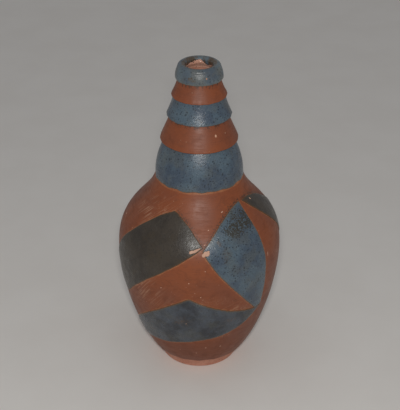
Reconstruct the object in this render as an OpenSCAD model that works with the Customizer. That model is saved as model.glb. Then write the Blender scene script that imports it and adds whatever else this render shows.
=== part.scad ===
// Bottle vase in red clay: a round belly on a small bare foot, and a tall neck
// of five stepped rings. It is thrown in sections that are luted together,
// coated with red slip, and patched with blue and charcoal glaze.
// Millimetres, +Z up. The origin is the centre of the underside.
// Azimuth is measured from the front (-Y) towards the right (+X).

/* [Body] */
// Radius of the foot where it stands
foot_r = 31.4; // [26:0.2:36]
// Height of the bare foot, up to the slip line
foot_h = 12.3; // [9:0.1:16]
// Radius of the body at the slip line
slip_line_r = 39; // [38:0.5:48]
// Largest radius of the belly
belly_r = 65; // [54:0.5:80]
// Height of the belly's widest line, where its two halves are joined
belly_z = 105; // [85:1:128]
// Height of the shoulder, where the neck stands
shoulder_z = 168.7; // [140:0.1:205]
// Radius of the shoulder at the neck
shoulder_r = 34; // [33:0.2:42]
// Wall of the body, measured level
wall = 6; // [5:0.1:7.5]
// How far the floor of the inside stands above the slip line
floor_rise = 1.8; // [1.4:0.1:3]
// Width of the flat ring that the vase stands on
foot_ring_w = 7.9; // [5:0.1:12]
// Depth of the hollow turned under the foot
hollow_h = 3; // [1:0.1:6]

/* [Body curve] */
// Lean of the wall at the slip line, from upright
foot_lean = 34; // [20:1:45]
// Pull of the curve at the slip line, as a share of its height
foot_sweep = 0.27; // [0.15:0.01:0.4]
// Fullness of the belly below its widest line
belly_low_full = 0.32; // [0.2:0.01:0.5]
// Fullness of the belly above its widest line
belly_high_full = 0.58; // [0.4:0.01:0.65]
// Pull of the curve at the neck
shoulder_sweep = 0.42; // [0.2:0.01:0.45]
// Lean of the shoulder at the neck, from upright
shoulder_lean = 17; // [5:1:30]

/* [Collar: the tall bottom ring] */
// Height of the collar
collar_h = 29.9; // [22:0.1:38]
// Radius at its top
collar_top_r = 26.1; // [24:0.1:31.5]
// How far its lip stands out over the shoulder
collar_overhang = 0.3; // [0.3:0.1:4]
// How far its side swells
collar_bulge = 0.5; // [0:0.01:0.7]

/* [Lower step] */
// Height of the lower step
lower_h = 19.9; // [14:0.1:26]
// Radius at its top
lower_top_r = 21.8; // [20:0.1:26.2]
// How far its lip stands out
lower_overhang = 4.1; // [0.8:0.1:5]
// How far its side swells
lower_bulge = 0; // [-0.2:0.01:0.5]

/* [Middle step] */
// Height of the middle step
middle_h = 16; // [11:0.1:20]
// Radius at its top
middle_top_r = 19.5; // [17.5:0.1:23.5]
// How far its lip stands out
middle_overhang = 3.2; // [0.8:0.1:5]
// How far its side swells
middle_bulge = -0.19; // [-0.3:0.01:0.5]

/* [Upper step] */
// Height of the upper step
upper_h = 13.6; // [9:0.1:18]
// Radius at its top
upper_top_r = 16.1; // [15:0.1:19.4]
// How far its lip stands out
upper_overhang = 1.7; // [0.8:0.1:4]
// How far its side swells
upper_bulge = -0.2; // [-0.3:0.01:0.5]

/* [Rim] */
// Height of the rim ring
rim_h = 11.6; // [10:0.1:15]
// Radius of the rim where its side ends and its rolled lip begins
rim_top_r = 16.4; // [14:0.1:19.7]
// How far its lip stands out
rim_overhang = 2.2; // [0.8:0.1:4]
// How far its side swells
rim_bulge = 0.48; // [0.2:0.01:0.8]
// Width of the rolled lip, from the side to the mouth
rim_edge_w = 6.4; // [5:0.1:7.6]
// How far the rim's glaze runs down inside the mouth
glaze_lap = 4.5; // [3.6:0.1:6]
// Height of the rolled lip
rim_edge_h = 2.6; // [2:0.1:3.2]

/* [Walls, coats and joints] */
// Wall of the neck at the top of each ring, inside its coat
neck_wall = 3.3; // [2.8:0.1:4]
// Thickness of the red slip
slip_t = 0.4; // [0.3:0.05:0.5]
// Thickness of the glaze
glaze_t = 0.5; // [0.3:0.05:0.6]
// Height of the rounded lip under each ring
lip_h = 0.7; // [0.6:0.1:2]
// Width of the spigot on top of each neck ring
spigot_w = 1.4; // [1:0.1:1.5]
// Height of the spigots in the neck
spigot_h = 2.4; // [1.5:0.1:3]
// Width of the spigot at the belly joint
belly_spigot_w = 2.6; // [2:0.1:3.5]
// Height of the spigot at the belly joint
belly_spigot_h = 4; // [2:0.1:6]
// Thickness of the luting slip that fills each joint
lute_t = 0.5; // [0.3:0.05:0.6]

/* [Hidden] */
$fn = 128;

clay_colour = [0.68, 0.47, 0.38];
slip_colour = [0.49, 0.28, 0.20];
blue_colour = [0.33, 0.41, 0.48];
charcoal_colour = [0.25, 0.24, 0.21];
lute_colour = [0.60, 0.40, 0.32];

// Points along each half of the body curve, each ring's side and each lip
CURVE_N = 14;
SIDE_N = 6;
LIP_N = 4;
EDGE_N = 8;

// Heights at which the neck's pieces meet
lower_z = shoulder_z + collar_h;
middle_z = lower_z + lower_h;
upper_z = middle_z + middle_h;
rim_z = upper_z + upper_h;
top_z = rim_z + rim_h;

// Radii that follow from the edges beside them
hollow_r = foot_r - foot_ring_w;
mouth_r = rim_top_r - rim_edge_w;

// ---- Curves ----

function cubic(a, b, c, d, t) =
    pow(1 - t, 3) * a + 3 * pow(1 - t, 2) * t * b + 3 * (1 - t) * t * t * c + t * t * t * d;

function arc_point(a, pull, b, t) = pow(1 - t, 2) * a + 2 * (1 - t) * t * pull + t * t * b;

function shifted(line, dr) = [for (p = line) p + [dr, 0]];

function reversed(line) = [for (i = [len(line) - 1 : -1 : 0]) line[i]];

// ---- Body outline, as seen: the outside of the red slip ----

belly_point = [belly_r, belly_z];
slip_point = [slip_line_r, foot_h];
shoulder_point = [shoulder_r, shoulder_z];
low_h = belly_z - foot_h;
high_h = shoulder_z - belly_z;

low_line = [for (i = [0 : CURVE_N]) cubic(
    slip_point,
    slip_point + foot_sweep * low_h * [sin(foot_lean), cos(foot_lean)],
    belly_point - [0, belly_low_full * low_h],
    belly_point, i / CURVE_N)];

high_line = [for (i = [0 : CURVE_N]) cubic(
    belly_point,
    belly_point + [0, belly_high_full * high_h],
    shoulder_point + shoulder_sweep * high_h * [sin(shoulder_lean), -cos(shoulder_lean)],
    shoulder_point, i / CURVE_N)];

body_line = concat(low_line, [for (i = [1 : CURVE_N]) high_line[i]]);

function body_r_at(z) = lookup(z, [for (p = body_line) [p[1], p[0]]]);

function inside_r_at(z) = body_r_at(z) - slip_t - wall;

// ---- Neck rings ----
// A ring is [foot height, height, radius at the top, overhang, radius under the lip, bulge, coat].

COLLAR = [shoulder_z, collar_h, collar_top_r, collar_overhang, shoulder_r, collar_bulge, glaze_t];
LOWER = [lower_z, lower_h, lower_top_r, lower_overhang, collar_top_r, lower_bulge, slip_t];
MIDDLE = [middle_z, middle_h, middle_top_r, middle_overhang, lower_top_r, middle_bulge, glaze_t];
UPPER = [upper_z, upper_h, upper_top_r, upper_overhang, middle_top_r, upper_bulge, slip_t];
RIM = [rim_z, rim_h - rim_edge_h, rim_top_r, rim_overhang, upper_top_r, rim_bulge, glaze_t];

// Bore of the neck: it carries on from the inside of the body and leaves the neck's wall at each joint
bore_line = concat(
    [[shoulder_z, shoulder_r - slip_t - wall]],
    [for (ring = [COLLAR, LOWER, MIDDLE, UPPER]) [ring[0] + ring[1], ring[2] - ring[6] - neck_wall]]);

function bore_r(z) = lookup(z, bore_line);

// Side of a ring, from under its lip to its top, moved in by a coat's thickness
function ring_side(ring, inset) =
    let (z0 = ring[0], top = z0 + ring[1], crease = ring[4], lip = crease + ring[3], lip_z = z0 + lip_h)
    concat(
        [for (i = [0 : LIP_N - 1]) let (a = 90 * i / LIP_N)
            [crease + (lip - inset - crease) * sin(a), lip_z - (lip_h - inset) * cos(a)]],
        [for (i = [0 : SIDE_N]) let (u = 1 - i / SIDE_N)
            [ring[2] + (lip - ring[2]) * (u + 2 * ring[5] * u * (1 - u)) - inset,
             top - (top - lip_z) * u]]);

// Rolled lip of the rim, from its side over the top to the mouth
function rim_edge(inset) =
    let (half = rim_edge_w / 2, mid = [mouth_r + half, top_z - rim_edge_h])
    [for (i = [1 : EDGE_N]) let (a = 180 * i / EDGE_N)
        mid + [(half - inset) * cos(a), (rim_edge_h - inset) * sin(a)]];

// Upper end of a joint: the spigot, then the bore at its top
function spigot(z) =
    [[bore_r(z) + spigot_w, z],
     [bore_r(z) + spigot_w, z + spigot_h],
     [bore_r(z + spigot_h), z + spigot_h]];

// Lower end of a joint: the socket that the luting slip and spigot fill
function socket(z) =
    let (r = bore_r(z) + spigot_w + lute_t, h = spigot_h + lute_t)
    [[bore_r(z + h), z + h], [r, z + h], [r, z]];

module turned(points) {
    rotate_extrude() polygon(points);
}

module ring_clay(ring) {
    turned(concat(
        socket(ring[0]),
        [[ring[4], ring[0]]],
        ring_side(ring, ring[6]),
        spigot(ring[0] + ring[1])));
}

module ring_coat(ring) {
    turned(concat(ring_side(ring, 0), reversed(ring_side(ring, ring[6]))));
}

// ---- Clay pieces ----

module foot_base() {
    plug_r = inside_r_at(foot_h) - lute_t;
    color(clay_colour) turned([
        [0, hollow_h], [hollow_r - hollow_h, hollow_h], [hollow_r, 0],
        [foot_r, 0], [slip_line_r - slip_t, foot_h],
        [plug_r, foot_h], [plug_r, foot_h + floor_rise], [0, foot_h + floor_rise]]);
}

module lower_body() {
    spigot_r = inside_r_at(belly_z) + belly_spigot_w;
    color(clay_colour) turned(concat(
        shifted(low_line, -slip_t),
        [[spigot_r, belly_z],
         [spigot_r, belly_z + belly_spigot_h],
         [inside_r_at(belly_z + belly_spigot_h), belly_z + belly_spigot_h]],
        reversed(shifted(low_line, -slip_t - wall))));
}

module upper_body() {
    socket_r = inside_r_at(belly_z) + belly_spigot_w + lute_t;
    socket_z = belly_z + belly_spigot_h + lute_t;
    inside = [for (p = high_line) if (p[1] > socket_z) p - [slip_t + wall, 0]];
    color(clay_colour) turned(concat(
        shifted(high_line, -slip_t),
        spigot(shoulder_z),
        reversed(inside),
        [[inside_r_at(socket_z), socket_z], [socket_r, socket_z], [socket_r, belly_z]]));
}

module collar() {
    color(clay_colour) ring_clay(COLLAR);
}

module lower_step() {
    color(clay_colour) ring_clay(LOWER);
}

module middle_step() {
    color(clay_colour) ring_clay(MIDDLE);
}

module upper_step() {
    color(clay_colour) ring_clay(UPPER);
}

module rim() {
    lap_z = top_z - glaze_lap;
    color(clay_colour) turned(concat(
        socket(rim_z),
        [[upper_top_r, rim_z]],
        ring_side(RIM, glaze_t),
        rim_edge(glaze_t),
        [[mouth_r + glaze_t, lap_z]]));
}

// One thin ring of luting slip in each joint: at the foot, the belly and up the neck
module luting_slip() {
    foot_in = inside_r_at(foot_h);
    belly_in = inside_r_at(belly_z) + belly_spigot_w;
    belly_top = belly_z + belly_spigot_h;
    color(lute_colour) {
        turned([
            [foot_in - lute_t, foot_h], [foot_in, foot_h],
            [inside_r_at(foot_h + floor_rise), foot_h + floor_rise],
            [foot_in - lute_t, foot_h + floor_rise]]);
        turned([
            [belly_in, belly_z], [belly_in + lute_t, belly_z], [belly_in + lute_t, belly_top + lute_t],
            [inside_r_at(belly_top + lute_t), belly_top + lute_t],
            [inside_r_at(belly_top), belly_top], [belly_in, belly_top]]);
        for (z = [shoulder_z, lower_z, middle_z, upper_z, rim_z])
            turned(concat(spigot(z), socket(z)));
    }
}

// ---- Coats all round ----

module body_slip() {
    color(slip_colour) turned(concat(body_line, reversed(shifted(body_line, -slip_t))));
}

module lower_step_slip() {
    color(slip_colour) ring_coat(LOWER);
}

module upper_step_slip() {
    color(slip_colour) ring_coat(UPPER);
}

module collar_glaze() {
    color(blue_colour) ring_coat(COLLAR);
}

module middle_step_glaze() {
    color(blue_colour) ring_coat(MIDDLE);
}

// The rim's glaze runs over the top edge and down into the mouth
module rim_glaze() {
    lap_z = top_z - glaze_lap;
    color(blue_colour) turned(concat(
        ring_side(RIM, 0),
        rim_edge(0),
        [[mouth_r, lap_z], [mouth_r + glaze_t, lap_z]],
        reversed(rim_edge(glaze_t)),
        reversed(ring_side(RIM, glaze_t))));
}

// ---- Glaze patches on the belly ----
// A patch is a closed run of curved edges. Each edge is [corner, pull], where a point is
// [azimuth, height as a share of the shoulder's], and it ends at the next edge's corner.

BANNER = [[[-26, 0.916], [-8, 0.882]], [[3, 0.794], [-30.5, 0.664]],
          [[-66, 0.432], [-78, 0.455]], [[-88, 0.540], [-62, 0.870]]];
SAIL = [[[49.5, 0.931], [54, 0.700]], [[53, 0.409], [50, 0.409]],
        [[46, 0.405], [18.5, 0.606]], [[2, 0.777], [20, 0.912]]];
CRESCENT = [[[-90, 0.142], [-45, 0.190]], [[0, 0.261], [38, 0.297]],
            [[53, 0.409], [50, 0.409]], [[46, 0.405], [15, 0.455]], [[-7, 0.543], [-45, 0.394]]];
WING = [[[54, 0.925], [79, 0.825]], [[110, 0.498], [121, 0.557]], [[128, 0.640], [96.5, 0.950]]];
BACK_SAIL = [[[178, 0.931], [168, 0.664]], [[186, 0.400], [214, 0.570]], [[232, 0.747], [212, 0.890]]];
BACK_CRESCENT = [[[115, 0.400], [122, 0.270]], [[140, 0.210], [180, 0.130]],
                 [[238, 0.178], [190, 0.290]], [[168, 0.350], [140, 0.300]]];

// A patch's outline as seen square on from azimuth a0
function patch_outline(edges, a0) =
    [for (i = [0 : len(edges) - 1], j = [0 : EDGE_N - 1])
        let (end = edges[(i + 1) % len(edges)][0],
             p = arc_point(edges[i][0], edges[i][1], end, j / EDGE_N),
             z = p[1] * shoulder_z)
        [body_r_at(z) * sin(p[0] - a0), z]];

module patch(edges) {
    a0 = (min([for (e = edges) e[0][0]]) + max([for (e = edges) e[0][0]])) / 2;
    intersection() {
        turned(concat(shifted(body_line, glaze_t), reversed(body_line)));
        rotate([0, 0, a0]) rotate([90, 0, 0])
            linear_extrude(height = 2 * belly_r) polygon(patch_outline(edges, a0));
    }
}

module charcoal_banner() {
    color(charcoal_colour) patch(BANNER);
}

module blue_sail() {
    color(blue_colour) patch(SAIL);
}

module blue_crescent() {
    color(blue_colour) patch(CRESCENT);
}

module charcoal_wing() {
    color(charcoal_colour) patch(WING);
}

module blue_back_sail() {
    color(blue_colour) patch(BACK_SAIL);
}

module charcoal_back_crescent() {
    color(charcoal_colour) patch(BACK_CRESCENT);
}

foot_base();
lower_body();
upper_body();
collar();
lower_step();
middle_step();
upper_step();
rim();
luting_slip();
body_slip();
lower_step_slip();
upper_step_slip();
collar_glaze();
middle_step_glaze();
rim_glaze();
charcoal_banner();
blue_sail();
blue_crescent();
charcoal_wing();
blue_back_sail();
charcoal_back_crescent();
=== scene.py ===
"""Looks of a red clay bottle vase: its slip, glaze patches, neck rings, chips and bare clay.

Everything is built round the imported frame, in metres. Azimuth is measured from the front (-Y) towards
the right (+X), the way the pot turns on the wheel, and heights are above the underside of the foot.
"""
import logging
import math
from dataclasses import dataclass
from enum import Enum
from typing import Sequence

import bpy
import numpy as np
from mathutils.geometry import delaunay_2d_cdt
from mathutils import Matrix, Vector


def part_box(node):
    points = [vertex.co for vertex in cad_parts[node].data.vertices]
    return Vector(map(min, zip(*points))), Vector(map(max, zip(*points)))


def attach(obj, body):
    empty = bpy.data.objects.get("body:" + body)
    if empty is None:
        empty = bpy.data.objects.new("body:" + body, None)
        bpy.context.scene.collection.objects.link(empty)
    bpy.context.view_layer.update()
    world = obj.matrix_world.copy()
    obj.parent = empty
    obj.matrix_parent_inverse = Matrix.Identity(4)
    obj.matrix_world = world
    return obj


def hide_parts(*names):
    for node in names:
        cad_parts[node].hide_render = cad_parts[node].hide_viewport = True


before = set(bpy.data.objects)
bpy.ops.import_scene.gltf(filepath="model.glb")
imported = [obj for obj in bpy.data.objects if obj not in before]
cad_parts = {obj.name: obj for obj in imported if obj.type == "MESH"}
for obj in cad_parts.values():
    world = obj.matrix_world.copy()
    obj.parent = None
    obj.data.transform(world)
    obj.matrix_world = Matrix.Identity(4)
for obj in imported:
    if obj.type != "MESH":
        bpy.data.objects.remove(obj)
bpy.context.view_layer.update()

LOG = logging.getLogger("vase")
MM = 0.001
BODY = "root"


class Slot(Enum):
    """The record's material slots."""

    BARE_CLAY = "bare_clay"
    LUTING_SLIP = "luting_slip"
    RED_SLIP = "red_slip"
    BLUE_GLAZE = "blue_glaze"
    CHARCOAL_GLAZE = "charcoal_glaze"


# ---------------------------------------------------------------------------------------------
# Curves and unevenness
# ---------------------------------------------------------------------------------------------


def eased(low: float, high: float, value: np.ndarray) -> np.ndarray:
    """Rises smoothly from 0 at low to 1 at high.

    Args:
        low: where the rise starts.
        high: where it ends.
        value: the values to ease.

    Returns:
        An array from 0 to 1.
    """
    t = np.clip((np.asarray(value, float) - low) / (high - low), 0.0, 1.0)
    return t * t * (3.0 - 2.0 * t)


def lengths_along(line: np.ndarray) -> np.ndarray:
    """Measures a line of points.

    Args:
        line: the points in order, one row each.

    Returns:
        The length from the first point to each of them.
    """
    return np.concatenate([[0.0], np.cumsum(np.hypot(*np.diff(line, axis=0).T))])


def all_round(turns: int) -> np.ndarray:
    """Spaces azimuths evenly round the vase.

    Args:
        turns: how many there are.

    Returns:
        A column of azimuths in radians, starting at the back.
    """
    return np.linspace(-math.pi, math.pi, turns, endpoint=False)[:, None]


def away_from(azimuth: np.ndarray, turn: float) -> np.ndarray:
    """Measures the shorter way round to one azimuth.

    Args:
        azimuth: the azimuths in radians.
        turn: the azimuth to measure from, in degrees.

    Returns:
        The angles in radians, from minus half a turn to half a turn.
    """
    return (azimuth - math.radians(turn) + math.pi) % (2 * math.pi) - math.pi


@dataclass(frozen=True)
class Ripple:
    """Seeded, smooth unevenness that closes on itself round the vase.

    rounds is the fewest and most waves round the vase, rises the most waves per metre of height.
    """

    seed: int
    rounds: tuple[int, int]
    rises: float = 0.0
    waves: int = 14

    def at(self, azimuth: np.ndarray, height: np.ndarray | float = 0.0) -> np.ndarray:
        """Gives the unevenness at some places.

        Args:
            azimuth: azimuths in radians.
            height: heights in metres.

        Returns:
            Values that mostly lie between -1 and 1.
        """
        rng = np.random.default_rng(self.seed)
        total = np.zeros(np.broadcast(azimuth, height).shape)
        for _ in range(self.waves):
            turns = rng.integers(self.rounds[0], self.rounds[1] + 1)
            rise = 2.0 * math.pi * rng.uniform(-self.rises, self.rises)
            total += np.sin(turns * azimuth + rise * height + rng.uniform(0.0, 2.0 * math.pi))
        return total / math.sqrt(self.waves)


@dataclass(frozen=True)
class BodyProfile:
    """Outline of the body, seen as the outside of its red slip, from the slip line to the neck.

    Leans are in degrees from upright. Sweeps and fullnesses are shares of a half's height.
    """

    foot_h: float
    belly_r: float
    belly_z: float
    shoulder_z: float
    slip_line_r: float = 39.0 * MM
    shoulder_r: float = 34.0 * MM
    foot_lean: float = 34.0
    foot_sweep: float = 0.27
    belly_low_full: float = 0.32
    belly_high_full: float = 0.58
    shoulder_sweep: float = 0.42
    shoulder_lean: float = 17.0

    @classmethod
    def from_frame(cls) -> "BodyProfile":
        """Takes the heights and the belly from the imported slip."""
        low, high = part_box("body_slip")
        return cls(foot_h=low.z, belly_r=high.x, belly_z=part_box("upper_body")[0].z, shoulder_z=high.z)

    def line(self) -> tuple[np.ndarray, np.ndarray]:
        """Traces the outline upwards.

        Returns:
            The radii and the heights of points along it.
        """
        t = np.linspace(0.0, 1.0, 401)[:, None]
        low_h, high_h = self.belly_z - self.foot_h, self.shoulder_z - self.belly_z
        foot, top = math.radians(self.foot_lean), math.radians(self.shoulder_lean)
        slip = np.array([self.slip_line_r, self.foot_h])
        belly = np.array([self.belly_r, self.belly_z])
        shoulder = np.array([self.shoulder_r, self.shoulder_z])

        def cubic(a: np.ndarray, b: np.ndarray, c: np.ndarray, d: np.ndarray) -> np.ndarray:
            """Traces one cubic curve from a to d, pulled towards b and c."""
            return (1 - t) ** 3 * a + 3 * (1 - t) ** 2 * t * b + 3 * (1 - t) * t * t * c + t**3 * d

        low = cubic(
            slip,
            slip + self.foot_sweep * low_h * np.array([math.sin(foot), math.cos(foot)]),
            belly - np.array([0.0, self.belly_low_full * low_h]),
            belly,
        )
        high = cubic(
            belly,
            belly + np.array([0.0, self.belly_high_full * high_h]),
            shoulder + self.shoulder_sweep * high_h * np.array([math.sin(top), -math.cos(top)]),
            shoulder,
        )
        both = np.vstack([low, high[1:]])
        return both[:, 0], both[:, 1]

    def radius(self, height: np.ndarray) -> np.ndarray:
        """Gives the outside radius at some heights.

        Args:
            height: the heights.

        Returns:
            The radius at each.
        """
        radii, heights = self.line()
        return np.interp(height, heights, radii)

    def along(self, height: np.ndarray) -> np.ndarray:
        """Gives the length of the outline from the slip line up to some heights.

        Args:
            height: the heights.

        Returns:
            The length up to each.
        """
        radii, heights = self.line()
        return np.interp(height, heights, lengths_along(np.stack([radii, heights], axis=1)))

    def height(self, along: np.ndarray) -> np.ndarray:
        """Gives the height that a length along the outline reaches.

        Args:
            along: the lengths from the slip line.

        Returns:
            The height at the end of each.
        """
        radii, heights = self.line()
        return np.interp(along, lengths_along(np.stack([radii, heights], axis=1)), heights)

    def normal(self, height: np.ndarray) -> tuple[np.ndarray, np.ndarray]:
        """Gives the outward direction at some heights.

        Args:
            height: heights in metres.

        Returns:
            Its share along the radius and its share upwards.
        """
        radii, heights = self.line()
        lean = np.gradient(radii, heights)
        slope = np.interp(height, heights, lean)
        size = np.hypot(1.0, slope)
        return 1.0 / size, -slope / size

    def points(self, azimuth: np.ndarray, height: np.ndarray, out: np.ndarray) -> np.ndarray:
        """Places points on or off the surface.

        Args:
            azimuth: azimuths in radians.
            height: heights on the outline.
            out: how far each point stands off the surface, outwards.

        Returns:
            An array of places with the shape of azimuth plus a last axis of 3.
        """
        across, up = self.normal(height)
        radius = self.radius(height) + out * across
        return np.stack(
            [radius * np.sin(azimuth), -radius * np.cos(azimuth), height + out * up], axis=-1
        )


# ---------------------------------------------------------------------------------------------
# Outlines on the unrolled surface
# ---------------------------------------------------------------------------------------------


@dataclass
class Outline:
    """A closed outline on the body, unrolled: across is azimuth times belly radius, up the length
    along the body's outline. Both are in metres."""

    points: np.ndarray

    def resampled(self, step: float) -> "Outline":
        """Spaces the points evenly.

        Args:
            step: about how far apart they come to lie.

        Returns:
            The same outline with its new points.
        """
        closed = np.vstack([self.points, self.points[:1]])
        run = lengths_along(closed)
        marks = np.linspace(0.0, run[-1], max(12, int(run[-1] / step)), endpoint=False)
        return Outline(np.stack([np.interp(marks, run, closed[:, k]) for k in (0, 1)], axis=1))

    def softened(self, reach: float, step: float) -> "Outline":
        """Rounds the corners, as a brush or a finger does.

        Args:
            reach: how far along the outline the rounding reaches.
            step: distance between the points.

        Returns:
            The rounded outline.
        """
        offsets = np.arange(-3 * int(reach / step) - 1, 3 * int(reach / step) + 2)
        weights = np.exp(-0.5 * (offsets * step / reach) ** 2)
        weights /= weights.sum()
        rounded = sum(w * np.roll(self.points, -k, axis=0) for k, w in zip(offsets, weights))
        return Outline(rounded)

    def inward(self) -> np.ndarray:
        """Gives the inward direction at each point."""
        along = np.roll(self.points, -1, axis=0) - np.roll(self.points, 1, axis=0)
        along /= np.maximum(np.hypot(*along.T), 1e-12)[:, None]
        x, y = self.points.T
        area = np.sum(x * np.roll(y, -1) - np.roll(x, -1) * y)
        return np.stack([-along[:, 1], along[:, 0]], axis=1) * (1.0 if area > 0 else -1.0)

    def wavered(self, seed: int, size: float, shortest: float) -> "Outline":
        """Makes the edge hand-cut.

        Args:
            seed: sets the waves.
            size: how far the edge strays.
            shortest: length of the shortest wave.

        Returns:
            The uneven outline.
        """
        closed = np.vstack([self.points, self.points[:1]])
        length = np.hypot(*np.diff(closed, axis=0).T).sum()
        most = max(4, int(length / shortest))
        turn = np.linspace(0.0, 2.0 * math.pi, len(self.points), endpoint=False)
        long_waves = Ripple(seed, (2, max(3, most // 4))).at(turn)
        short_waves = Ripple(seed + 1, (most // 3, most)).at(turn)
        waver = long_waves + 0.45 * short_waves
        return Outline(self.points + self.inward() * (size * waver)[:, None])

    def distance(self, places: np.ndarray, narrow: np.ndarray) -> np.ndarray:
        """Measures how far some places are from the outline.

        Args:
            places: across and up of each place.
            narrow: the body's radius at each place as a share of the belly's.

        Returns:
            The distances, on the real surface.
        """
        a = self.points
        b = np.roll(a, -1, axis=0)
        best = np.full(len(places), 1.0)
        for first in range(0, len(places), 4000):
            part = slice(first, first + 4000)
            scale = np.stack([narrow[part], np.ones(len(narrow[part]))], axis=1)[:, None, :]
            start = (a[None] - places[part, None]) * scale
            side = (b[None] - a[None]) * scale
            t = np.clip(-(start * side).sum(-1) / np.maximum((side * side).sum(-1), 1e-18), 0, 1)
            gap = start + side * t[..., None]
            best[part] = np.sqrt((gap * gap).sum(-1)).min(axis=1)
        return best

    def holds(self, places: np.ndarray) -> np.ndarray:
        """Tells which places lie inside the outline.

        Args:
            places: unrolled places, one row each.

        Returns:
            True for each place inside.
        """
        inside = np.zeros(len(places), bool)
        x, y = places.T
        for (x0, y0), (x1, y1) in zip(self.points, np.roll(self.points, -1, axis=0)):
            if y0 != y1:
                crosses = (y0 > y) != (y1 > y)
                inside ^= crosses & (x < (x1 - x0) * (y - y0) / (y1 - y0) + x0)
        return inside


@dataclass(frozen=True)
class Blob:
    """A soft round place on the body where a finish changes: azimuth in degrees, sizes in metres."""

    azimuth: float
    height: float
    wide: float
    tall: float
    strength: float = 1.0

    def at(self, profile: BodyProfile, places: np.ndarray, narrow: np.ndarray) -> np.ndarray:
        """Gives the blob's strength at some places.

        Args:
            profile: the body that it lies on.
            places: unrolled places, one row each.
            narrow: the body's radius at each, as a share of the belly's.

        Returns:
            The strength at each.
        """
        centre = (math.radians(self.azimuth) * profile.belly_r, float(profile.along(self.height)))
        x = (places[:, 0] - centre[0]) * narrow / self.wide
        y = (places[:, 1] - centre[1]) / self.tall
        return self.strength * np.exp(-(x * x + y * y))


# ---------------------------------------------------------------------------------------------
# Meshes
# ---------------------------------------------------------------------------------------------


def closed_mesh(name: str, points: np.ndarray, faces: Sequence[Sequence[int]]) -> bpy.types.Object:
    """Makes a smooth-shaded object from points and faces.

    Args:
        name: the piece's name.
        points: places in metres.
        faces: corner numbers of each face, seen from outside.

    Returns:
        The object, linked to the scene.
    """
    mesh = bpy.data.meshes.new(name)
    mesh.from_pydata(points.tolist(), [], faces)
    mesh.polygons.foreach_set("use_smooth", np.ones(len(mesh.polygons), bool))
    mesh.update()
    piece = bpy.data.objects.new(name, mesh)
    bpy.context.scene.collection.objects.link(piece)
    return piece


def grid_faces(turns: int, rows: int, closed: bool) -> list[tuple[int, int, int, int]]:
    """Joins a grid of points that runs round the vase.

    Args:
        turns: points round the vase.
        rows: points along the path that is turned.
        closed: whether the path's end joins its start.

    Returns:
        Four corner numbers for each face.
    """
    i = np.arange(turns)[:, None]
    j = np.arange(rows if closed else rows - 1)[None, :]
    right, above = (i + 1) % turns, (j + 1) % rows
    corners = [i * rows + j, right * rows + j, right * rows + above, i * rows + above]
    flat = np.stack([np.broadcast_to(c, (turns, j.shape[1])).ravel() for c in corners], axis=1)
    return [tuple(row) for row in flat.tolist()]


def turned_mesh(name: str, radii: np.ndarray, heights: np.ndarray, closed: bool = True) -> bpy.types.Object:
    """Makes a turned piece from a path that goes up its outside and back down its inside.

    Args:
        name: the piece's name.
        radii: radius of each point, one row for each step round the vase.
        heights: height of each point, in the same order.
        closed: True for a ring, False for a path that starts and ends on the axis.

    Returns:
        The closed object.
    """
    turns, rows = radii.shape
    azimuth = all_round(turns)
    points = np.stack([radii * np.sin(azimuth), -radii * np.cos(azimuth), heights], axis=-1).reshape(-1, 3)
    faces: list[tuple[int, ...]] = list(grid_faces(turns, rows, closed))
    if not closed:
        ends = np.array([[0.0, 0.0, heights[:, 0].mean()], [0.0, 0.0, heights[:, -1].mean()]])
        bottom, top = len(points), len(points) + 1
        points = np.vstack([points, ends])
        for i in range(turns):
            right = (i + 1) % turns
            faces.append((bottom, right * rows, i * rows))
            faces.append((top, i * rows + rows - 1, right * rows + rows - 1))
    return closed_mesh(name, points, faces)


def add_values(piece: bpy.types.Object, name: str, values: np.ndarray) -> None:
    """Stores one number at each point of a piece, for its finish to read.

    Args:
        piece: the object.
        name: the attribute's name.
        values: one number for each point.
    """
    layer = piece.data.attributes.new(name, "FLOAT", "POINT")
    layer.data.foreach_set("value", np.asarray(values, np.float32).ravel())


def rounded_path(corners: Sequence[tuple[float, float, float]], step: float) -> np.ndarray:
    """Traces a path of straight runs with rounded corners.

    Args:
        corners: radius, height and rounding of each corner, in order.
        step: greatest distance between two points.

    Returns:
        An array of radius and height.
    """
    points = np.array([c[:2] for c in corners])
    path = [points[0]]
    for before, corner, after, rounding in zip(points, points[1:], points[2:], [c[2] for c in corners[1:]]):
        back, ahead = before - corner, after - corner
        room = min(rounding, 0.45 * np.hypot(*back), 0.45 * np.hypot(*ahead))
        start, end = corner + back / np.hypot(*back) * room, corner + ahead / np.hypot(*ahead) * room
        for t in np.linspace(0.0, 1.0, 6 if room > 0 else 1):
            path.append((1 - t) ** 2 * start + 2 * (1 - t) * t * corner + t * t * end)
    path.append(points[-1])
    full = [path[0]]
    for point in path[1:]:
        gap = np.hypot(*(point - full[-1]))
        if gap < 1e-6:
            continue
        parts = max(1, math.ceil(gap / step))
        start = full[-1]
        full += [start + (point - start) * k / parts for k in range(1, parts + 1)]
    return np.array(full)


# ---------------------------------------------------------------------------------------------
# Finishes
# ---------------------------------------------------------------------------------------------

Colour = tuple[float, float, float]
Range = tuple[float, float]
Socket = bpy.types.NodeSocket
CLOUD_RANGE: Range = (0.3, 0.7)


def shade(red: int, green: int, blue: int) -> Colour:
    """Turns a colour as mixed by eye into the linear values that a shader takes.

    Args:
        red: how much red, 0 to 255.
        green: how much green.
        blue: how much blue.

    Returns:
        The three linear values.
    """

    def linear(value: float) -> float:
        """Takes the display curve off one channel."""
        value /= 255.0
        return value / 12.92 if value <= 0.04045 else ((value + 0.055) / 1.055) ** 2.4

    return linear(red), linear(green), linear(blue)


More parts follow.
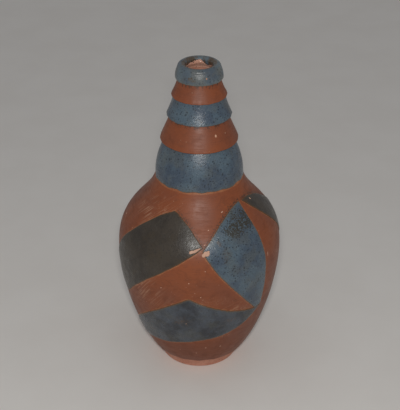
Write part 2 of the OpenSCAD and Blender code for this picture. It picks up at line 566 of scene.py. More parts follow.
class Recipe:
    """One material's node tree, built with short calls."""

    def __init__(self, name: str, roughness: float, gloss: float = 0.5) -> None:
        """Starts the material.

        Args:
            name: the material's name.
            roughness: its plain roughness.
            gloss: its specular level, where 0.5 is that of fired clay and glass.
        """
        self.material = bpy.data.materials.new(name)
        self.material.use_nodes = True
        self.tree = self.material.node_tree
        self.tree.nodes.clear()
        output = self.tree.nodes.new("ShaderNodeOutputMaterial")
        self.shader = self.tree.nodes.new("ShaderNodeBsdfPrincipled")
        self.tree.links.new(self.shader.outputs["BSDF"], output.inputs["Surface"])
        self.shader.inputs["Roughness"].default_value = roughness
        self.shader.inputs["Specular IOR Level"].default_value = gloss
        self.place = self.tree.nodes.new("ShaderNodeTexCoord").outputs["Object"]

    def feed(self, socket: Socket, value: Socket | float | Colour) -> None:
        """Links or sets a socket.

        Args:
            socket: the input.
            value: another node's output, a number or a colour.
        """
        if isinstance(value, bpy.types.NodeSocket):
            self.tree.links.new(value, socket)
        elif isinstance(value, tuple):
            socket.default_value = (*value, 1.0)
        else:
            socket.default_value = value

    def stretched(self, stretch: tuple[float, float, float], turn: tuple[float, float, float]) -> Socket:
        """Gives the place with its axes turned and then stretched.

        Args:
            stretch: scale of each axis.
            turn: turn of the axes in degrees.

        Returns:
            The changed place.
        """
        node = self.tree.nodes.new("ShaderNodeMapping")
        node.vector_type = "TEXTURE"
        node.inputs["Rotation"].default_value = tuple(math.radians(a) for a in turn)
        node.inputs["Scale"].default_value = tuple(1.0 / s for s in stretch)
        self.feed(node.inputs["Vector"], self.place)
        return node.outputs["Vector"]

    def cloud(
        self,
        size: float,
        detail: float = 2.0,
        rough: float = 0.5,
        stretch: tuple[float, float, float] = (1.0, 1.0, 1.0),
        turn: tuple[float, float, float] = (0.0, 0.0, 0.0),
        twist: float = 0.0,
    ) -> Socket:
        """Makes a cloudy pattern.

        Args:
            size: size of a cloud in metres.
            detail: how many finer layers it has.
            rough: how strong those are.
            stretch: scale of each axis.
            turn: turn of the axes in degrees.
            twist: how far the pattern is distorted.

        Returns:
            A value about 0.5, mostly between 0.25 and 0.75.
        """
        node = self.tree.nodes.new("ShaderNodeTexNoise")
        node.inputs["Scale"].default_value = 1.0 / size
        node.inputs["Detail"].default_value = detail
        node.inputs["Roughness"].default_value = rough
        node.inputs["Distortion"].default_value = twist
        self.feed(node.inputs["Vector"], self.stretched(stretch, turn))
        return node.outputs["Fac"]

    def grains(self, size: float) -> Socket:
        """Scatters grains.

        Args:
            size: about how far apart they lie.

        Returns:
            The distance to the nearest grain, 0 at its middle.
        """
        node = self.tree.nodes.new("ShaderNodeTexVoronoi")
        node.inputs["Scale"].default_value = 1.0 / size
        self.feed(node.inputs["Vector"], self.stretched((1.0, 1.0, 1.0), (0.0, 0.0, 0.0)))
        return node.outputs["Distance"]

    def speckles(self, apart: float, radii: Range, patch: float, spread: Range) -> Socket:
        """Scatters specks in some places and not in others.

        Args:
            apart: about how far apart the specks lie.
            radii: where a speck starts to fade and where it ends, as shares of apart.
            patch: size of the places that have specks.
            spread: from where to where the cloud of those places lets the specks in.

        Returns:
            1 in a speck and 0 outside it.
        """
        specks = self.band(self.grains(apart), *radii, 1.0, 0.0)
        return self.times(specks, self.band(self.cloud(patch, 2), *spread))

    def frayed(self, value: Socket, reach: float, size: float, detail: float, rough: float = 0.5) -> Socket:
        """Makes a value uneven, so that what follows it gets a ragged edge.

        Args:
            value: the value.
            reach: how far it is moved up or down.
            size: size of the unevenness in metres.
            detail: how many finer layers that has.
            rough: how strong those are.

        Returns:
            The uneven value.
        """
        return self.sum(value, self.band(self.cloud(size, detail, rough), *CLOUD_RANGE, -reach, reach))

    def rise(self) -> Socket:
        """Gives the height above the table."""
        node = self.tree.nodes.new("ShaderNodeSeparateXYZ")
        self.feed(node.inputs["Vector"], self.place)
        return node.outputs["Z"]

    def stored(self, name: str) -> Socket:
        """Reads the number that a piece stores at its points.

        Args:
            name: the name it is stored under.

        Returns:
            The number.
        """
        node = self.tree.nodes.new("ShaderNodeAttribute")
        node.attribute_name = name
        return node.outputs["Fac"]

    def band(self, value: Socket, low: float, high: float, start: float = 0.0, end: float = 1.0) -> Socket:
        """Eases from one value to another.

        Args:
            value: what is eased.
            low: where the easing starts.
            high: where it ends.
            start: the result at low and below.
            end: the result at high and above.

        Returns:
            The eased value.
        """
        node = self.tree.nodes.new("ShaderNodeMapRange")
        node.interpolation_type = "SMOOTHSTEP"
        self.feed(node.inputs["Value"], value)
        node.inputs["From Min"].default_value = low
        node.inputs["From Max"].default_value = high
        node.inputs["To Min"].default_value = start
        node.inputs["To Max"].default_value = end
        return node.outputs["Result"]

    def sum(self, a: Socket | float, b: Socket | float, kind: str = "ADD") -> Socket:
        """Joins two values.

        Args:
            a: the first value.
            b: the second.
            kind: Blender's name for what is done with them.

        Returns:
            The result.
        """
        node = self.tree.nodes.new("ShaderNodeMath")
        node.operation = kind
        self.feed(node.inputs[0], a)
        self.feed(node.inputs[1], b)
        return node.outputs["Value"]

    def times(self, a: Socket | float, b: Socket | float) -> Socket:
        """Multiplies two values."""
        return self.sum(a, b, "MULTIPLY")

    def mix(self, share: Socket | float, a: Socket | Colour, b: Socket | Colour, kind: str = "MIX") -> Socket:
        """Mixes two colours.

        Args:
            share: how much of b shows.
            a: the colour underneath.
            b: the colour laid over it.
            kind: Blender's blend type.

        Returns:
            The mixed colour.
        """
        node = self.tree.nodes.new("ShaderNodeMix")
        node.data_type = "RGBA"
        node.blend_type = kind
        self.feed(node.inputs[0], share)
        self.feed(node.inputs[6], a)
        self.feed(node.inputs[7], b)
        return node.outputs[2]

    def finish(self, colour: Socket, roughness: Socket, relief: Socket, depth: float) -> bpy.types.Material:
        """Links what was mixed to the shader.

        Args:
            colour: the base colour.
            roughness: the roughness.
            relief: the height of the fine relief, 0 to 1.
            depth: how deep that relief is, in metres.

        Returns:
            The finished material.
        """
        bump = self.tree.nodes.new("ShaderNodeBump")
        bump.inputs["Strength"].default_value = 1.0
        bump.inputs["Distance"].default_value = depth
        self.feed(bump.inputs["Height"], relief)
        self.feed(self.shader.inputs["Base Color"], colour)
        self.feed(self.shader.inputs["Roughness"], roughness)
        self.feed(self.shader.inputs["Normal"], bump.outputs["Normal"])
        return self.material


@dataclass(frozen=True)
class SlipFinish:
    """Burnished red slip: cloudy red-brown with fine turning streaks, scuffs and specks, with painted shade
    that darkens it towards the foot.
    """

    body: Colour = shade(128, 69, 42)
    warm: Colour = shade(138, 72, 37)
    # dark: the slip's darker clouds and streaks, and also the painted shade towards the foot.
    dark: Colour = shade(90, 46, 28)
    line: Colour = shade(174, 116, 76)
    smoke: Colour = shade(60, 46, 36)
    scuff: Colour = shade(176, 132, 106)
    bare: Colour = shade(205, 160, 132)
    speck: Colour = shade(56, 38, 32)
    roughness: float = 0.48

    def material(self) -> bpy.types.Material:
        """Mixes the slip."""
        r = Recipe("burnished_red_slip", self.roughness, 0.46)
        clouds = r.cloud(28 * MM, 3, 0.55)
        patchy = r.cloud(7 * MM, 4, 0.6, twist=0.4)
        streaks = r.cloud(9 * MM, 3, 0.6, stretch=(1.0, 1.0, 9.0))
        colour = r.mix(r.band(clouds, 0.36, 0.64), self.body, self.warm)
        colour = r.mix(r.times(r.band(patchy, 0.45, 0.75), 0.4), colour, self.dark)
        colour = r.mix(r.times(r.band(streaks, 0.5, 0.7), 0.22), colour, self.dark)
        # Painted shade: the slip is mixed darker towards the foot, standing in for shade on the lower body.
        colour = r.mix(r.band(r.rise(), 35 * MM, 125 * MM, 0.4, 0.0), colour, self.dark)

        gap = r.stored("gap")
        uneven = r.frayed(gap, 0.3, 1.8 * MM, 3, 0.6)
        halo = r.band(r.frayed(gap, 1.2, 5 * MM, 2), 0.6, 5.0, 0.35, 0.0)
        colour = r.mix(halo, colour, self.warm)
        smoke = r.frayed(r.stored("smoke"), 0.35, 1.1 * MM, 4, 0.75)
        smoke = r.times(r.band(smoke, 0.1, 0.6), r.band(r.stored("smoke"), 0.02, 0.12))
        colour = r.mix(r.times(smoke, 0.8), colour, self.smoke)
        edge = r.times(r.band(uneven, 0.3, 1.3, 1.0, 0.0), r.band(r.stored("smoke"), 0.04, 0.25, 0.55, 0.0))
        colour = r.mix(r.times(edge, r.band(r.cloud(4 * MM, 3), 0.35, 0.6, 0.35, 1.0)), colour, self.line)

        lines = r.cloud(0.75 * MM, 1, 0.5, stretch=(0.04, 0.04, 1.0), turn=(-38.0, -35.0, 0.0))
        region = r.band(r.cloud(6 * MM, 2), 0.36, 0.52)
        scratch = r.times(r.times(r.band(lines, 0.52, 0.62), region), r.stored("scuff"))
        colour = r.mix(r.times(scratch, 0.65), colour, self.scuff)
        rubbed = r.times(r.stored("rub"), r.band(r.cloud(1.6 * MM, 4, 0.75), 0.46, 0.7))
        colour = r.mix(r.times(rubbed, 0.8), colour, self.scuff)

        specks = r.speckles(3.4 * MM, (0.05, 0.11), 8 * MM, (0.5, 0.6))
        colour = r.mix(r.times(specks, 0.7), colour, self.speck)
        pale = r.speckles(4.2 * MM, (0.05, 0.1), 11 * MM, (0.48, 0.6))
        colour = r.mix(r.times(pale, 0.8), colour, self.scuff)
        colour = r.mix(r.band(r.stored("bare"), 0.35, 0.65), colour, self.bare)

        sheen = r.sum(self.roughness - 0.06, r.band(r.sum(patchy, streaks), 0.75, 1.25, 0.0, 0.14))
        sheen = r.sum(sheen, r.times(scratch, 0.2))
        fine = r.times(r.cloud(0.8 * MM, 4, 0.65), 0.6)
        relief = r.sum(fine, r.times(streaks, 0.5))
        relief = r.sum(relief, r.times(scratch, -0.35))
        return r.finish(colour, sheen, relief, 0.1 * MM)


@dataclass(frozen=True)
class GlazeFinish:
    """A satin glaze with an orange-peel skin, speckled by iron and broken brown where it runs thin."""

    name: str
    body: Colour
    light: Colour
    dark: Colour
    haze: Colour
    thin: Colour
    speck: Colour
    bloom: Colour = shade(52, 47, 36)
    # Pale colour of the painted glints of the light on the glaze, and of the crust on the crescent.
    crust_and_painted_glint: Colour = shade(150, 154, 152)
    bare: Colour = shade(190, 138, 108)
    roughness: float = 0.27
    gloss: float = 0.5
    mottle: float = 6.0 * MM
    speckle: float = 0.75
    peel: float = 0.19 * MM

    def material(self) -> bpy.types.Material:
        """Mixes the glaze."""
        r = Recipe(self.name, self.roughness, self.gloss)
        clouds = r.cloud(3.0 * self.mottle, 3, 0.55)
        mottle = r.cloud(self.mottle, 4, 0.6)
        grit = r.cloud(0.8 * MM, 3, 0.7)
        colour = r.mix(r.band(clouds, 0.38, 0.62), self.body, self.dark)
        colour = r.mix(r.times(r.band(mottle, 0.45, 0.7), 0.35), colour, self.light)
        colour = r.mix(r.times(r.band(r.cloud(14 * MM, 3, 0.6), 0.48, 0.66), 0.4), colour, self.haze)
        colour = r.mix(r.times(r.band(grit, 0.52, 0.64), 0.7 * self.speckle), colour, self.speck)
        dots = r.speckles(2.2 * MM, (0.22, 0.36), 3 * MM, (0.42, 0.52))
        colour = r.mix(r.times(dots, self.speckle), colour, self.speck)

        ragged = r.frayed(r.stored("edge"), 0.4, 1.4 * MM, 4, 0.7)
        colour = r.mix(r.band(ragged, 0.3, 2.6, 0.5, 0.0), colour, self.haze)
        colour = r.mix(r.band(ragged, 0.15, 0.95, 0.85, 0.0), colour, self.thin)
        iron = r.frayed(r.stored("iron"), 0.3, 1.5 * MM, 4, 0.7)
        iron = r.times(r.band(iron, 0.2, 0.9, 0.0, 0.75), r.band(r.stored("iron"), 0.05, 0.25))
        colour = r.mix(iron, colour, self.thin)
        colour = r.mix(r.times(iron, r.band(grit, 0.42, 0.6, 0.3, 0.9)), colour, self.bloom)

        flecks = r.cloud(1.3 * MM, 3, 0.65, stretch=(1.0, 1.0, 0.6), twist=1.4)
        bloom = r.band(r.sum(flecks, r.times(r.stored("bloom"), 0.24)), 0.67, 0.725)
        bloom = r.times(bloom, r.band(r.stored("bloom"), 0.1, 0.35))
        colour = r.mix(r.times(bloom, 0.95), colour, self.bloom)
        # Painted glints: pale flecks where the light glints on the banner's and the sail's shoulder corners;
        # on the crescent a pale crust.
        crust_and_painted_glint = r.times(r.stored("crust_and_painted_glint"), r.band(r.cloud(0.7 * MM, 3, 0.7), 0.48, 0.6))
        colour = r.mix(r.times(crust_and_painted_glint, 0.6), colour, self.crust_and_painted_glint)
        colour = r.mix(r.band(r.stored("bare"), 0.35, 0.65), colour, self.bare)

        pocks = r.band(r.grains(1.5 * MM), 0.02, 0.3)
        relief = r.sum(r.times(r.cloud(1.9 * MM, 3, 0.6), 1.0), r.times(r.cloud(0.45 * MM, 2, 0.6), 0.5))
        relief = r.sum(relief, r.times(pocks, 0.3))
        relief = r.sum(relief, r.times(bloom, 0.3))
        dull = r.band(mottle, 0.35, 0.7, self.roughness + 0.08, self.roughness - 0.06)
        dull = r.sum(dull, r.times(bloom, 0.2))
        dull = r.sum(dull, r.times(crust_and_painted_glint, -0.14))
        return r.finish(colour, dull, relief, self.peel)


@dataclass(frozen=True)
class ClayFinish:
    """Bare fired clay: matt, gritty and speckled."""

    name: str
    body: Colour
    light: Colour
    dark: Colour
    speck: Colour = shade(62, 42, 36)
    roughness: float = 0.86
    gloss: float = 0.3
    clean: float = 0.5

    def material(self) -> bpy.types.Material:
        """Mixes the clay."""
        r = Recipe(self.name, self.roughness, self.gloss)
        clouds = r.cloud(9 * MM, 4, 0.6)
        grain = r.cloud(1.1 * MM, 4, 0.7)
        lines = r.cloud(6 * MM, 3, 0.6, stretch=(1.0, 1.0, 12.0))
        colour = r.mix(r.band(clouds, 0.36, 0.66), self.body, self.light)
        colour = r.mix(r.times(r.band(grain, 0.48, 0.7), 0.55), colour, self.dark)
        colour = r.mix(r.times(r.band(lines, 0.52, 0.7), 0.25), colour, self.dark)
        specks = r.speckles(2.6 * MM, (0.13, 0.22), 4 * MM, (self.clean, self.clean + 0.08))
        colour = r.mix(r.times(specks, 0.85), colour, self.speck)
        relief = r.sum(r.times(grain, 0.8), r.times(lines, 0.5))
        relief = r.sum(relief, r.times(specks, -0.4))
        wet = r.stored("wet")
        rough = r.band(grain, 0.3, 0.7, self.roughness - 0.08, self.roughness + 0.08)
        rough = r.times(rough, r.band(wet, 0.15, 0.45, 1.0, 0.15))
        return r.finish(colour, rough, r.times(relief, r.band(wet, 0.1, 0.4, 1.0, 0.1)), 0.2 * MM)


class Finishes:
    """Every finish on the vase, each mixed once."""

    def __init__(self) -> None:
        """Mixes the slip, the glazes and the clays."""
        self.slip = SlipFinish().material()
        self.blue = GlazeFinish(
            name="satin_blue_glaze",
            body=shade(82, 100, 113),
            light=shade(104, 117, 124),
            dark=shade(66, 80, 96),
            haze=shade(92, 96, 92),
            thin=shade(98, 72, 50),
            speck=shade(34, 40, 48),
        ).material()
        # Partly painted light: the rim's glaze is the blue glaze mixed lighter, standing in for brighter
        # light on the rim; its greyer tone and fewer specks are its own.
        self.rim = GlazeFinish(
            name="rim_blue_glaze_with_painted_light",
            body=shade(93, 107, 115),
            light=shade(114, 122, 122),
            dark=shade(76, 88, 100),
            haze=shade(106, 102, 88),
            thin=shade(104, 80, 54),
            speck=shade(36, 40, 46),
            speckle=0.5,
        ).material()
        self.smoky = GlazeFinish(
            name="smoky_blue_glaze",
            body=shade(72, 78, 86),
            light=shade(88, 98, 112),
            dark=shade(48, 51, 57),
            haze=shade(82, 82, 76),
            thin=shade(106, 78, 54),
            speck=shade(44, 46, 50),
            speckle=0.45,
            gloss=0.4,
        ).material()
        self.charcoal = GlazeFinish(
            name="matt_charcoal_glaze",
            body=shade(67, 60, 52),
            light=shade(78, 74, 68),
            dark=shade(55, 49, 43),
            haze=shade(70, 60, 46),
            thin=shade(98, 70, 48),
            speck=shade(42, 39, 36),
            roughness=0.31,
            gloss=0.4,
            speckle=0.45,
        ).material()
        self.clay = ClayFinish(
            name="bare_clay",
            body=shade(192, 132, 110),
            light=shade(204, 148, 126),
            dark=shade(152, 102, 84),
        ).material()
        # Painted light: the clay inside the mouth is the bare clay mixed lighter, standing in for the light
        # falling into the mouth; it also has more specks and a higher gloss.
        self.mouth = ClayFinish(
            name="mouth_clay_with_painted_light",
            body=shade(204, 150, 126),
            light=shade(214, 168, 146),
            dark=shade(168, 114, 92),
            gloss=0.9,
            clean=0.36,
        ).material()
        self.chip = ClayFinish(
            name="fresh_chip",
            body=shade(204, 164, 142),
            light=shade(214, 176, 154),
            dark=shade(184, 138, 112),
        ).material()
        self.lute = ClayFinish(
            name="luting_slip",
            body=shade(168, 118, 96),
            light=shade(182, 132, 110),
            dark=shade(136, 94, 76),
        ).material()

    def patch(self, shape: "PatchShape") -> bpy.types.Material:
        """Picks the glaze of a patch."""
        if shape.slot is Slot.CHARCOAL_GLAZE:
            return self.charcoal
        return self.smoky if shape.smoky else self.blue


# ---------------------------------------------------------------------------------------------
# Patches, chips and nicks on the body
# ---------------------------------------------------------------------------------------------


@dataclass(frozen=True)
class PatchShape:
    """A glaze patch as laid out on the body.

    Each edge is (corner, pull), where a point is (azimuth in degrees, share of the shoulder's height),
    and it curves towards its pull on the way to the next edge's corner.
    """

    name: str
    node: str
    slot: Slot
    edges: tuple[tuple[tuple[float, float], tuple[float, float]], ...]
    seed: int
    smoky: bool = False
    blooms: tuple[Blob, ...] = ()
    # Places of painted glints of the light, and of pale crust.
    crusts_and_painted_glints: tuple[Blob, ...] = ()
    irons: tuple[Blob, ...] = ()

    def outline(self, profile: BodyProfile) -> Outline:
        """Lays the patch out on the unrolled body, with rounded corners and a hand-cut edge.

        Args:
            profile: the body that it lies on.

        Returns:
            The patch's outline.
        """
        step = 0.8 * MM
        places = []
        for index, (corner, pull) in enumerate(self.edges):
            end = self.edges[(index + 1) % len(self.edges)][0]
            for t in np.linspace(0.0, 1.0, 40, endpoint=False):
                places.append(
                    [(1 - t) ** 2 * a + 2 * (1 - t) * t * p + t * t * b for a, p, b in zip(corner, pull, end)]
                )
        azimuth, share = np.array(places).T
        across = np.radians(azimuth) * profile.belly_r
        up = profile.along(share * profile.shoulder_z)
        plain = Outline(np.stack([across, up], axis=1)).resampled(step)
        return plain.softened(0.9 * MM, step).wavered(self.seed, 0.16 * MM, 5 * MM)


PATCHES = (
    PatchShape(
        name="charcoal_banner_glaze",
        node="charcoal_banner",
        slot=Slot.CHARCOAL_GLAZE,
        edges=(
            ((-26, 0.916), (-8, 0.882)),
            ((3, 0.794), (-30.5, 0.664)),
            ((-66, 0.432), (-78, 0.455)),
            ((-88, 0.540), (-62, 0.870)),
        ),
        seed=11,
        # Painted glints of the light on the banner's shoulder corner.
        crusts_and_painted_glints=(Blob(-5, 137 * MM, 5 * MM, 5 * MM, 0.8), Blob(-10, 144 * MM, 5 * MM, 6 * MM, 0.5)),
    ),
    PatchShape(
        name="blue_sail_glaze",
        node="blue_sail",
        slot=Slot.BLUE_GLAZE,
        edges=(
            ((49.5, 0.931), (54, 0.700)),
            ((53, 0.409), (50, 0.409)),
            ((46, 0.405), (18.5, 0.606)),
            ((2, 0.777), (20, 0.912)),
        ),
        seed=23,
        blooms=(
            Blob(38, 143.5 * MM, 12 * MM, 8 * MM, 1.0),
            Blob(28, 141 * MM, 7 * MM, 5 * MM, 0.8),
            Blob(34, 151 * MM, 6 * MM, 5 * MM, 0.6),
            Blob(47, 147 * MM, 4 * MM, 9 * MM, 0.8),
        ),
        # Painted glints of the light on the sail's shoulder corner.
        crusts_and_painted_glints=(Blob(8, 137.5 * MM, 4.5 * MM, 5 * MM, 1.0), Blob(13, 140 * MM, 5 * MM, 4 * MM, 0.7)),
        irons=(Blob(15, 136 * MM, 2.5 * MM, 3 * MM, 0.6), Blob(20, 127 * MM, 5 * MM, 8 * MM, 0.35)),
    ),
    PatchShape(
        name="blue_crescent_glaze",
        node="blue_crescent",
        slot=Slot.BLUE_GLAZE,
        edges=(
            ((-90, 0.142), (-45, 0.190)),
            ((0, 0.261), (38, 0.297)),
            ((53, 0.409), (50, 0.409)),
            ((46, 0.405), (15, 0.455)),
            ((-7, 0.543), (-45, 0.394)),
        ),
        seed=37,
        smoky=True,
        crusts_and_painted_glints=(Blob(0, 86 * MM, 5 * MM, 2 * MM, 0.7),),
        irons=(Blob(-13, 67 * MM, 8 * MM, 6 * MM, 0.45), Blob(24, 65 * MM, 7 * MM, 4 * MM, 0.4)),
    ),
    PatchShape(
        name="charcoal_wing_glaze",
        node="charcoal_wing",
        slot=Slot.CHARCOAL_GLAZE,
        edges=(
            ((54, 0.925), (79, 0.825)),
            ((110, 0.498), (121, 0.557)),
            ((128, 0.640), (96.5, 0.950)),
        ),
        seed=41,
        irons=(Blob(57, 154 * MM, 4 * MM, 4 * MM, 0.9),),
    ),
    PatchShape(
        name="blue_back_sail_glaze",
        node="blue_back_sail",
        slot=Slot.BLUE_GLAZE,
        edges=(
            ((178, 0.931), (168, 0.664)),
            ((186, 0.400), (214, 0.570)),
            ((232, 0.747), (212, 0.890)),
        ),
        seed=53,
        blooms=(Blob(205, 128 * MM, 9 * MM, 7 * MM, 0.9),),
    ),
    PatchShape(
        name="charcoal_back_crescent_glaze",
        node="charcoal_back_crescent",
        slot=Slot.CHARCOAL_GLAZE,
        edges=(
            ((115, 0.400), (122, 0.270)),
            ((140, 0.210), (180, 0.130)),
            ((238, 0.178), (190, 0.290)),
            ((168, 0.350), (140, 0.300)),
        ),
        seed=67,
    ),
)


@dataclass(frozen=True)
class Chip:
    """A flake knocked off the surface: its middle, its length and width, its tilt and its shape."""

    azimuth: float
    height: float
    long: float
    wide: float
    tilt: float
    seed: int

    def outline(self, profile: BodyProfile) -> Outline:
        """Lays the flake out on the unrolled body.

        Args:
            profile: the body that it lies on.

        Returns:
            The flake's ragged outline.
        """
        turn = np.linspace(0.0, 2.0 * math.pi, 64, endpoint=False)
        ragged = 1.0 + 0.13 * Ripple(self.seed, (2, 6)).at(turn)
        x, y = self.long / 2 * ragged * np.cos(turn), self.wide / 2 * ragged * np.sin(turn)
        tilt = math.radians(self.tilt)
        narrow = float(profile.radius(self.height)) / profile.belly_r
        across = (x * math.cos(tilt) - y * math.sin(tilt)) / narrow
        up = x * math.sin(tilt) + y * math.cos(tilt)
        centre = np.array([math.radians(self.azimuth) * profile.belly_r, float(profile.along(self.height))])
        size = max(self.long, self.wide)
        return Outline(centre + np.stack([across, up], axis=1)).resampled(max(0.16 * MM, size / 26))


GLAZE_CHIPS = (
    Chip(-3.2, 132.0 * MM, 9.4 * MM, 1.9 * MM, 25, 71),
    Chip(-5.7, 131.2 * MM, 3.4 * MM, 2.6 * MM, 15, 76),
    Chip(5.0, 130.1 * MM, 6.2 * MM, 3.9 * MM, 34, 72),
    Chip(68.2, 153.2 * MM, 2.4 * MM, 1.4 * MM, -55, 73),
    Chip(-10, 64.5 * MM, 1.2 * MM, 0.8 * MM, 20, 74),
    Chip(-39, 38.5 * MM, 2.2 * MM, 0.6 * MM, -15, 75),
)

SLIP_NICKS = (
    Chip(24.5, 153.9 * MM, 1.9 * MM, 0.8 * MM, 25, 81),
    Chip(-85, 133.3 * MM, 1.3 * MM, 1.1 * MM, 0, 82),
    Chip(-46, 137.2 * MM, 1.0 * MM, 0.8 * MM, 0, 83),
    Chip(4.3, 135.9 * MM, 1.2 * MM, 0.8 * MM, 60, 84),
    Chip(8, 144.5 * MM, 0.9 * MM, 0.8 * MM, 0, 85),
    Chip(-7, 106.5 * MM, 0.9 * MM, 0.8 * MM, 0, 86),
    Chip(-27, 98.0 * MM, 1.1 * MM, 0.8 * MM, 30, 87),
    Chip(4, 117.0 * MM, 0.8 * MM, 0.7 * MM, 0, 88),
    Chip(1, 93.5 * MM, 1.0 * MM, 0.6 * MM, 10, 89),
    Chip(56, 115.0 * MM, 0.5 * MM, 4.0 * MM, 0, 90),
    Chip(6, 33.4 * MM, 1.2 * MM, 0.9 * MM, 0, 91),
    Chip(20, 33.0 * MM, 1.4 * MM, 0.8 * MM, 40, 92),
    Chip(-3, 25.6 * MM, 1.0 * MM, 0.8 * MM, 0, 93),
)


@dataclass
class GlazeSkin:
    """A closed skin laid on the body: glaze with a rounded edge, or a flake's bare floor."""

    profile: BodyProfile
    thickness: float = 0.45 * MM
    edge_round: float = 0.7 * MM
    sunk: float = 0.06 * MM
    bed: float = 0.2 * MM
    spacing: float = 1.3 * MM
    relief: float = 0.025 * MM

    def scattered(self, outline: Outline, holes: Sequence[Outline], seed: int) -> np.ndarray:
        """Scatters points over the skin: rows that follow its edge, then an even field.

        Args:
            outline: the skin's edge.
            holes: outlines that the field stays out of.
            seed: sets the field's unevenness.

        Returns:
            The unrolled places.
        """
        rng = np.random.default_rng(seed)
        kept = []
        for inset in (0.12, 0.3, 0.6, 1.1):
            inset *= self.edge_round
            for edge, way in [(outline, 1.0)] + [(hole, -1.0) for hole in holes]:
                row = edge.points + way * inset * edge.inward()
                clear = edge.distance(row, np.ones(len(row))) > 0.8 * inset
                kept.append(row[clear & (edge.holds(row) == (way > 0))])
        low, high = outline.points.min(axis=0), outline.points.max(axis=0)
        x = np.arange(low[0], high[0], self.spacing)
        y = np.arange(low[1], high[1], self.spacing * 0.87)
        field = np.stack(np.meshgrid(x, y, indexing="ij"), axis=-1)
        field[:, 1::2, 0] += self.spacing / 2
        field = field.reshape(-1, 2) + rng.uniform(-0.18, 0.18, (field.size // 2, 2)) * self.spacing
        field = field[outline.holds(field)]
        field = field[outline.distance(field, np.ones(len(field))) > 1.5 * self.edge_round]
        for hole in holes:
            outside = ~hole.holds(field) & (hole.distance(field, np.ones(len(field))) > 1.5 * self.edge_round)
            field = field[outside]
        kept.append(field)
        places = np.vstack(kept)
        inside = outline.holds(places)
        for hole in holes:
            inside &= ~hole.holds(places)
        return places[inside]

    def triangles(
        self, outline: Outline, holes: Sequence[Outline], seed: int
    ) -> tuple[np.ndarray, np.ndarray]:
        """Fills the skin with triangles.

        Args:
            outline: the skin's edge.
            holes: the outlines left open.
            seed: sets the field's unevenness.

        Returns:
            The unrolled places and the corners of each triangle.
        """
        loops = [outline, *holes]
        places = np.vstack([loop.points for loop in loops] + [self.scattered(outline, holes, seed)])
        edges, start = [], 0
        for loop in loops:
            count = len(loop.points)
            edges += [(start + i, start + (i + 1) % count) for i in range(count)]
            start += count
        found = delaunay_2d_cdt([tuple(p) for p in places / MM], edges, [], 0, 1e-5)
        flat = np.array([tuple(p) for p in found[0]]) * MM
        corners = np.array([list(face) for face in found[2] if len(face) == 3])
        middles = flat[corners].mean(axis=1)
        keep = outline.holds(middles)
        for hole in holes:
            keep &= ~hole.holds(middles)
        corners = corners[keep]
        a, b, c = flat[corners[:, 0]], flat[corners[:, 1]], flat[corners[:, 2]]
        turn = (b[:, 0] - a[:, 0]) * (c[:, 1] - a[:, 1]) - (b[:, 1] - a[:, 1]) * (c[:, 0] - a[:, 0])
        corners[turn < 0] = corners[turn < 0][:, ::-1]
        return flat, corners

    def build(
        self, name: str, outline: Outline, seed: int, holes: Sequence[Outline] = ()
    ) -> tuple[bpy.types.Object, np.ndarray]:
        """Builds the skin with its front, its back and the strip between them.

        Args:
            name: the piece's name.
            outline: the skin's edge.
            seed: sets its unevenness.
            holes: the outlines left open.

        Returns:
            The object, and the unrolled place of each of its points.
        """
        flat, corners = self.triangles(outline, holes, seed)
        used, corners = np.unique(corners, return_inverse=True)
        flat, corners = flat[used], corners.reshape(-1, 3)
        azimuth, height = flat[:, 0] / self.profile.belly_r, self.profile.height(flat[:, 1])
        narrow = self.profile.radius(height) / self.profile.belly_r
        reach = np.clip(outline.distance(flat, narrow) / self.edge_round, 0.0, 1.0)
        front = -self.sunk + (self.thickness + self.sunk) * np.sqrt(1.0 - (1.0 - reach) ** 2)
        for hole in holes:
            near = np.clip(hole.distance(flat, narrow) / (0.35 * self.edge_round), 0.0, 1.0)
            front = np.minimum(front, self.thickness * (0.55 + 0.45 * near))
        front += self.relief * reach * Ripple(seed + 5, (20, 130), 350.0, 20).at(azimuth, height)
        back = np.full(len(flat), -self.bed)
        points = np.vstack(
            [self.profile.points(azimuth, height, front), self.profile.points(azimuth, height, back)]
        )
        count = len(flat)
        sides = np.sort(np.vstack([corners[:, [0, 1]], corners[:, [1, 2]], corners[:, [2, 0]]]), axis=1)
        directed = np.vstack([corners[:, [0, 1]], corners[:, [1, 2]], corners[:, [2, 0]]])
        _, index, times = np.unique(sides, axis=0, return_index=True, return_counts=True)
        border = directed[index[times == 1]]
        faces: list[tuple[int, ...]] = [tuple(c) for c in corners.tolist()]
        faces += [(c[2] + count, c[1] + count, c[0] + count) for c in corners.tolist()]
        faces += [(b, a, a + count, b + count) for a, b in border.tolist()]
        piece = closed_mesh(name, points, faces)
        return piece, np.vstack([flat, flat])


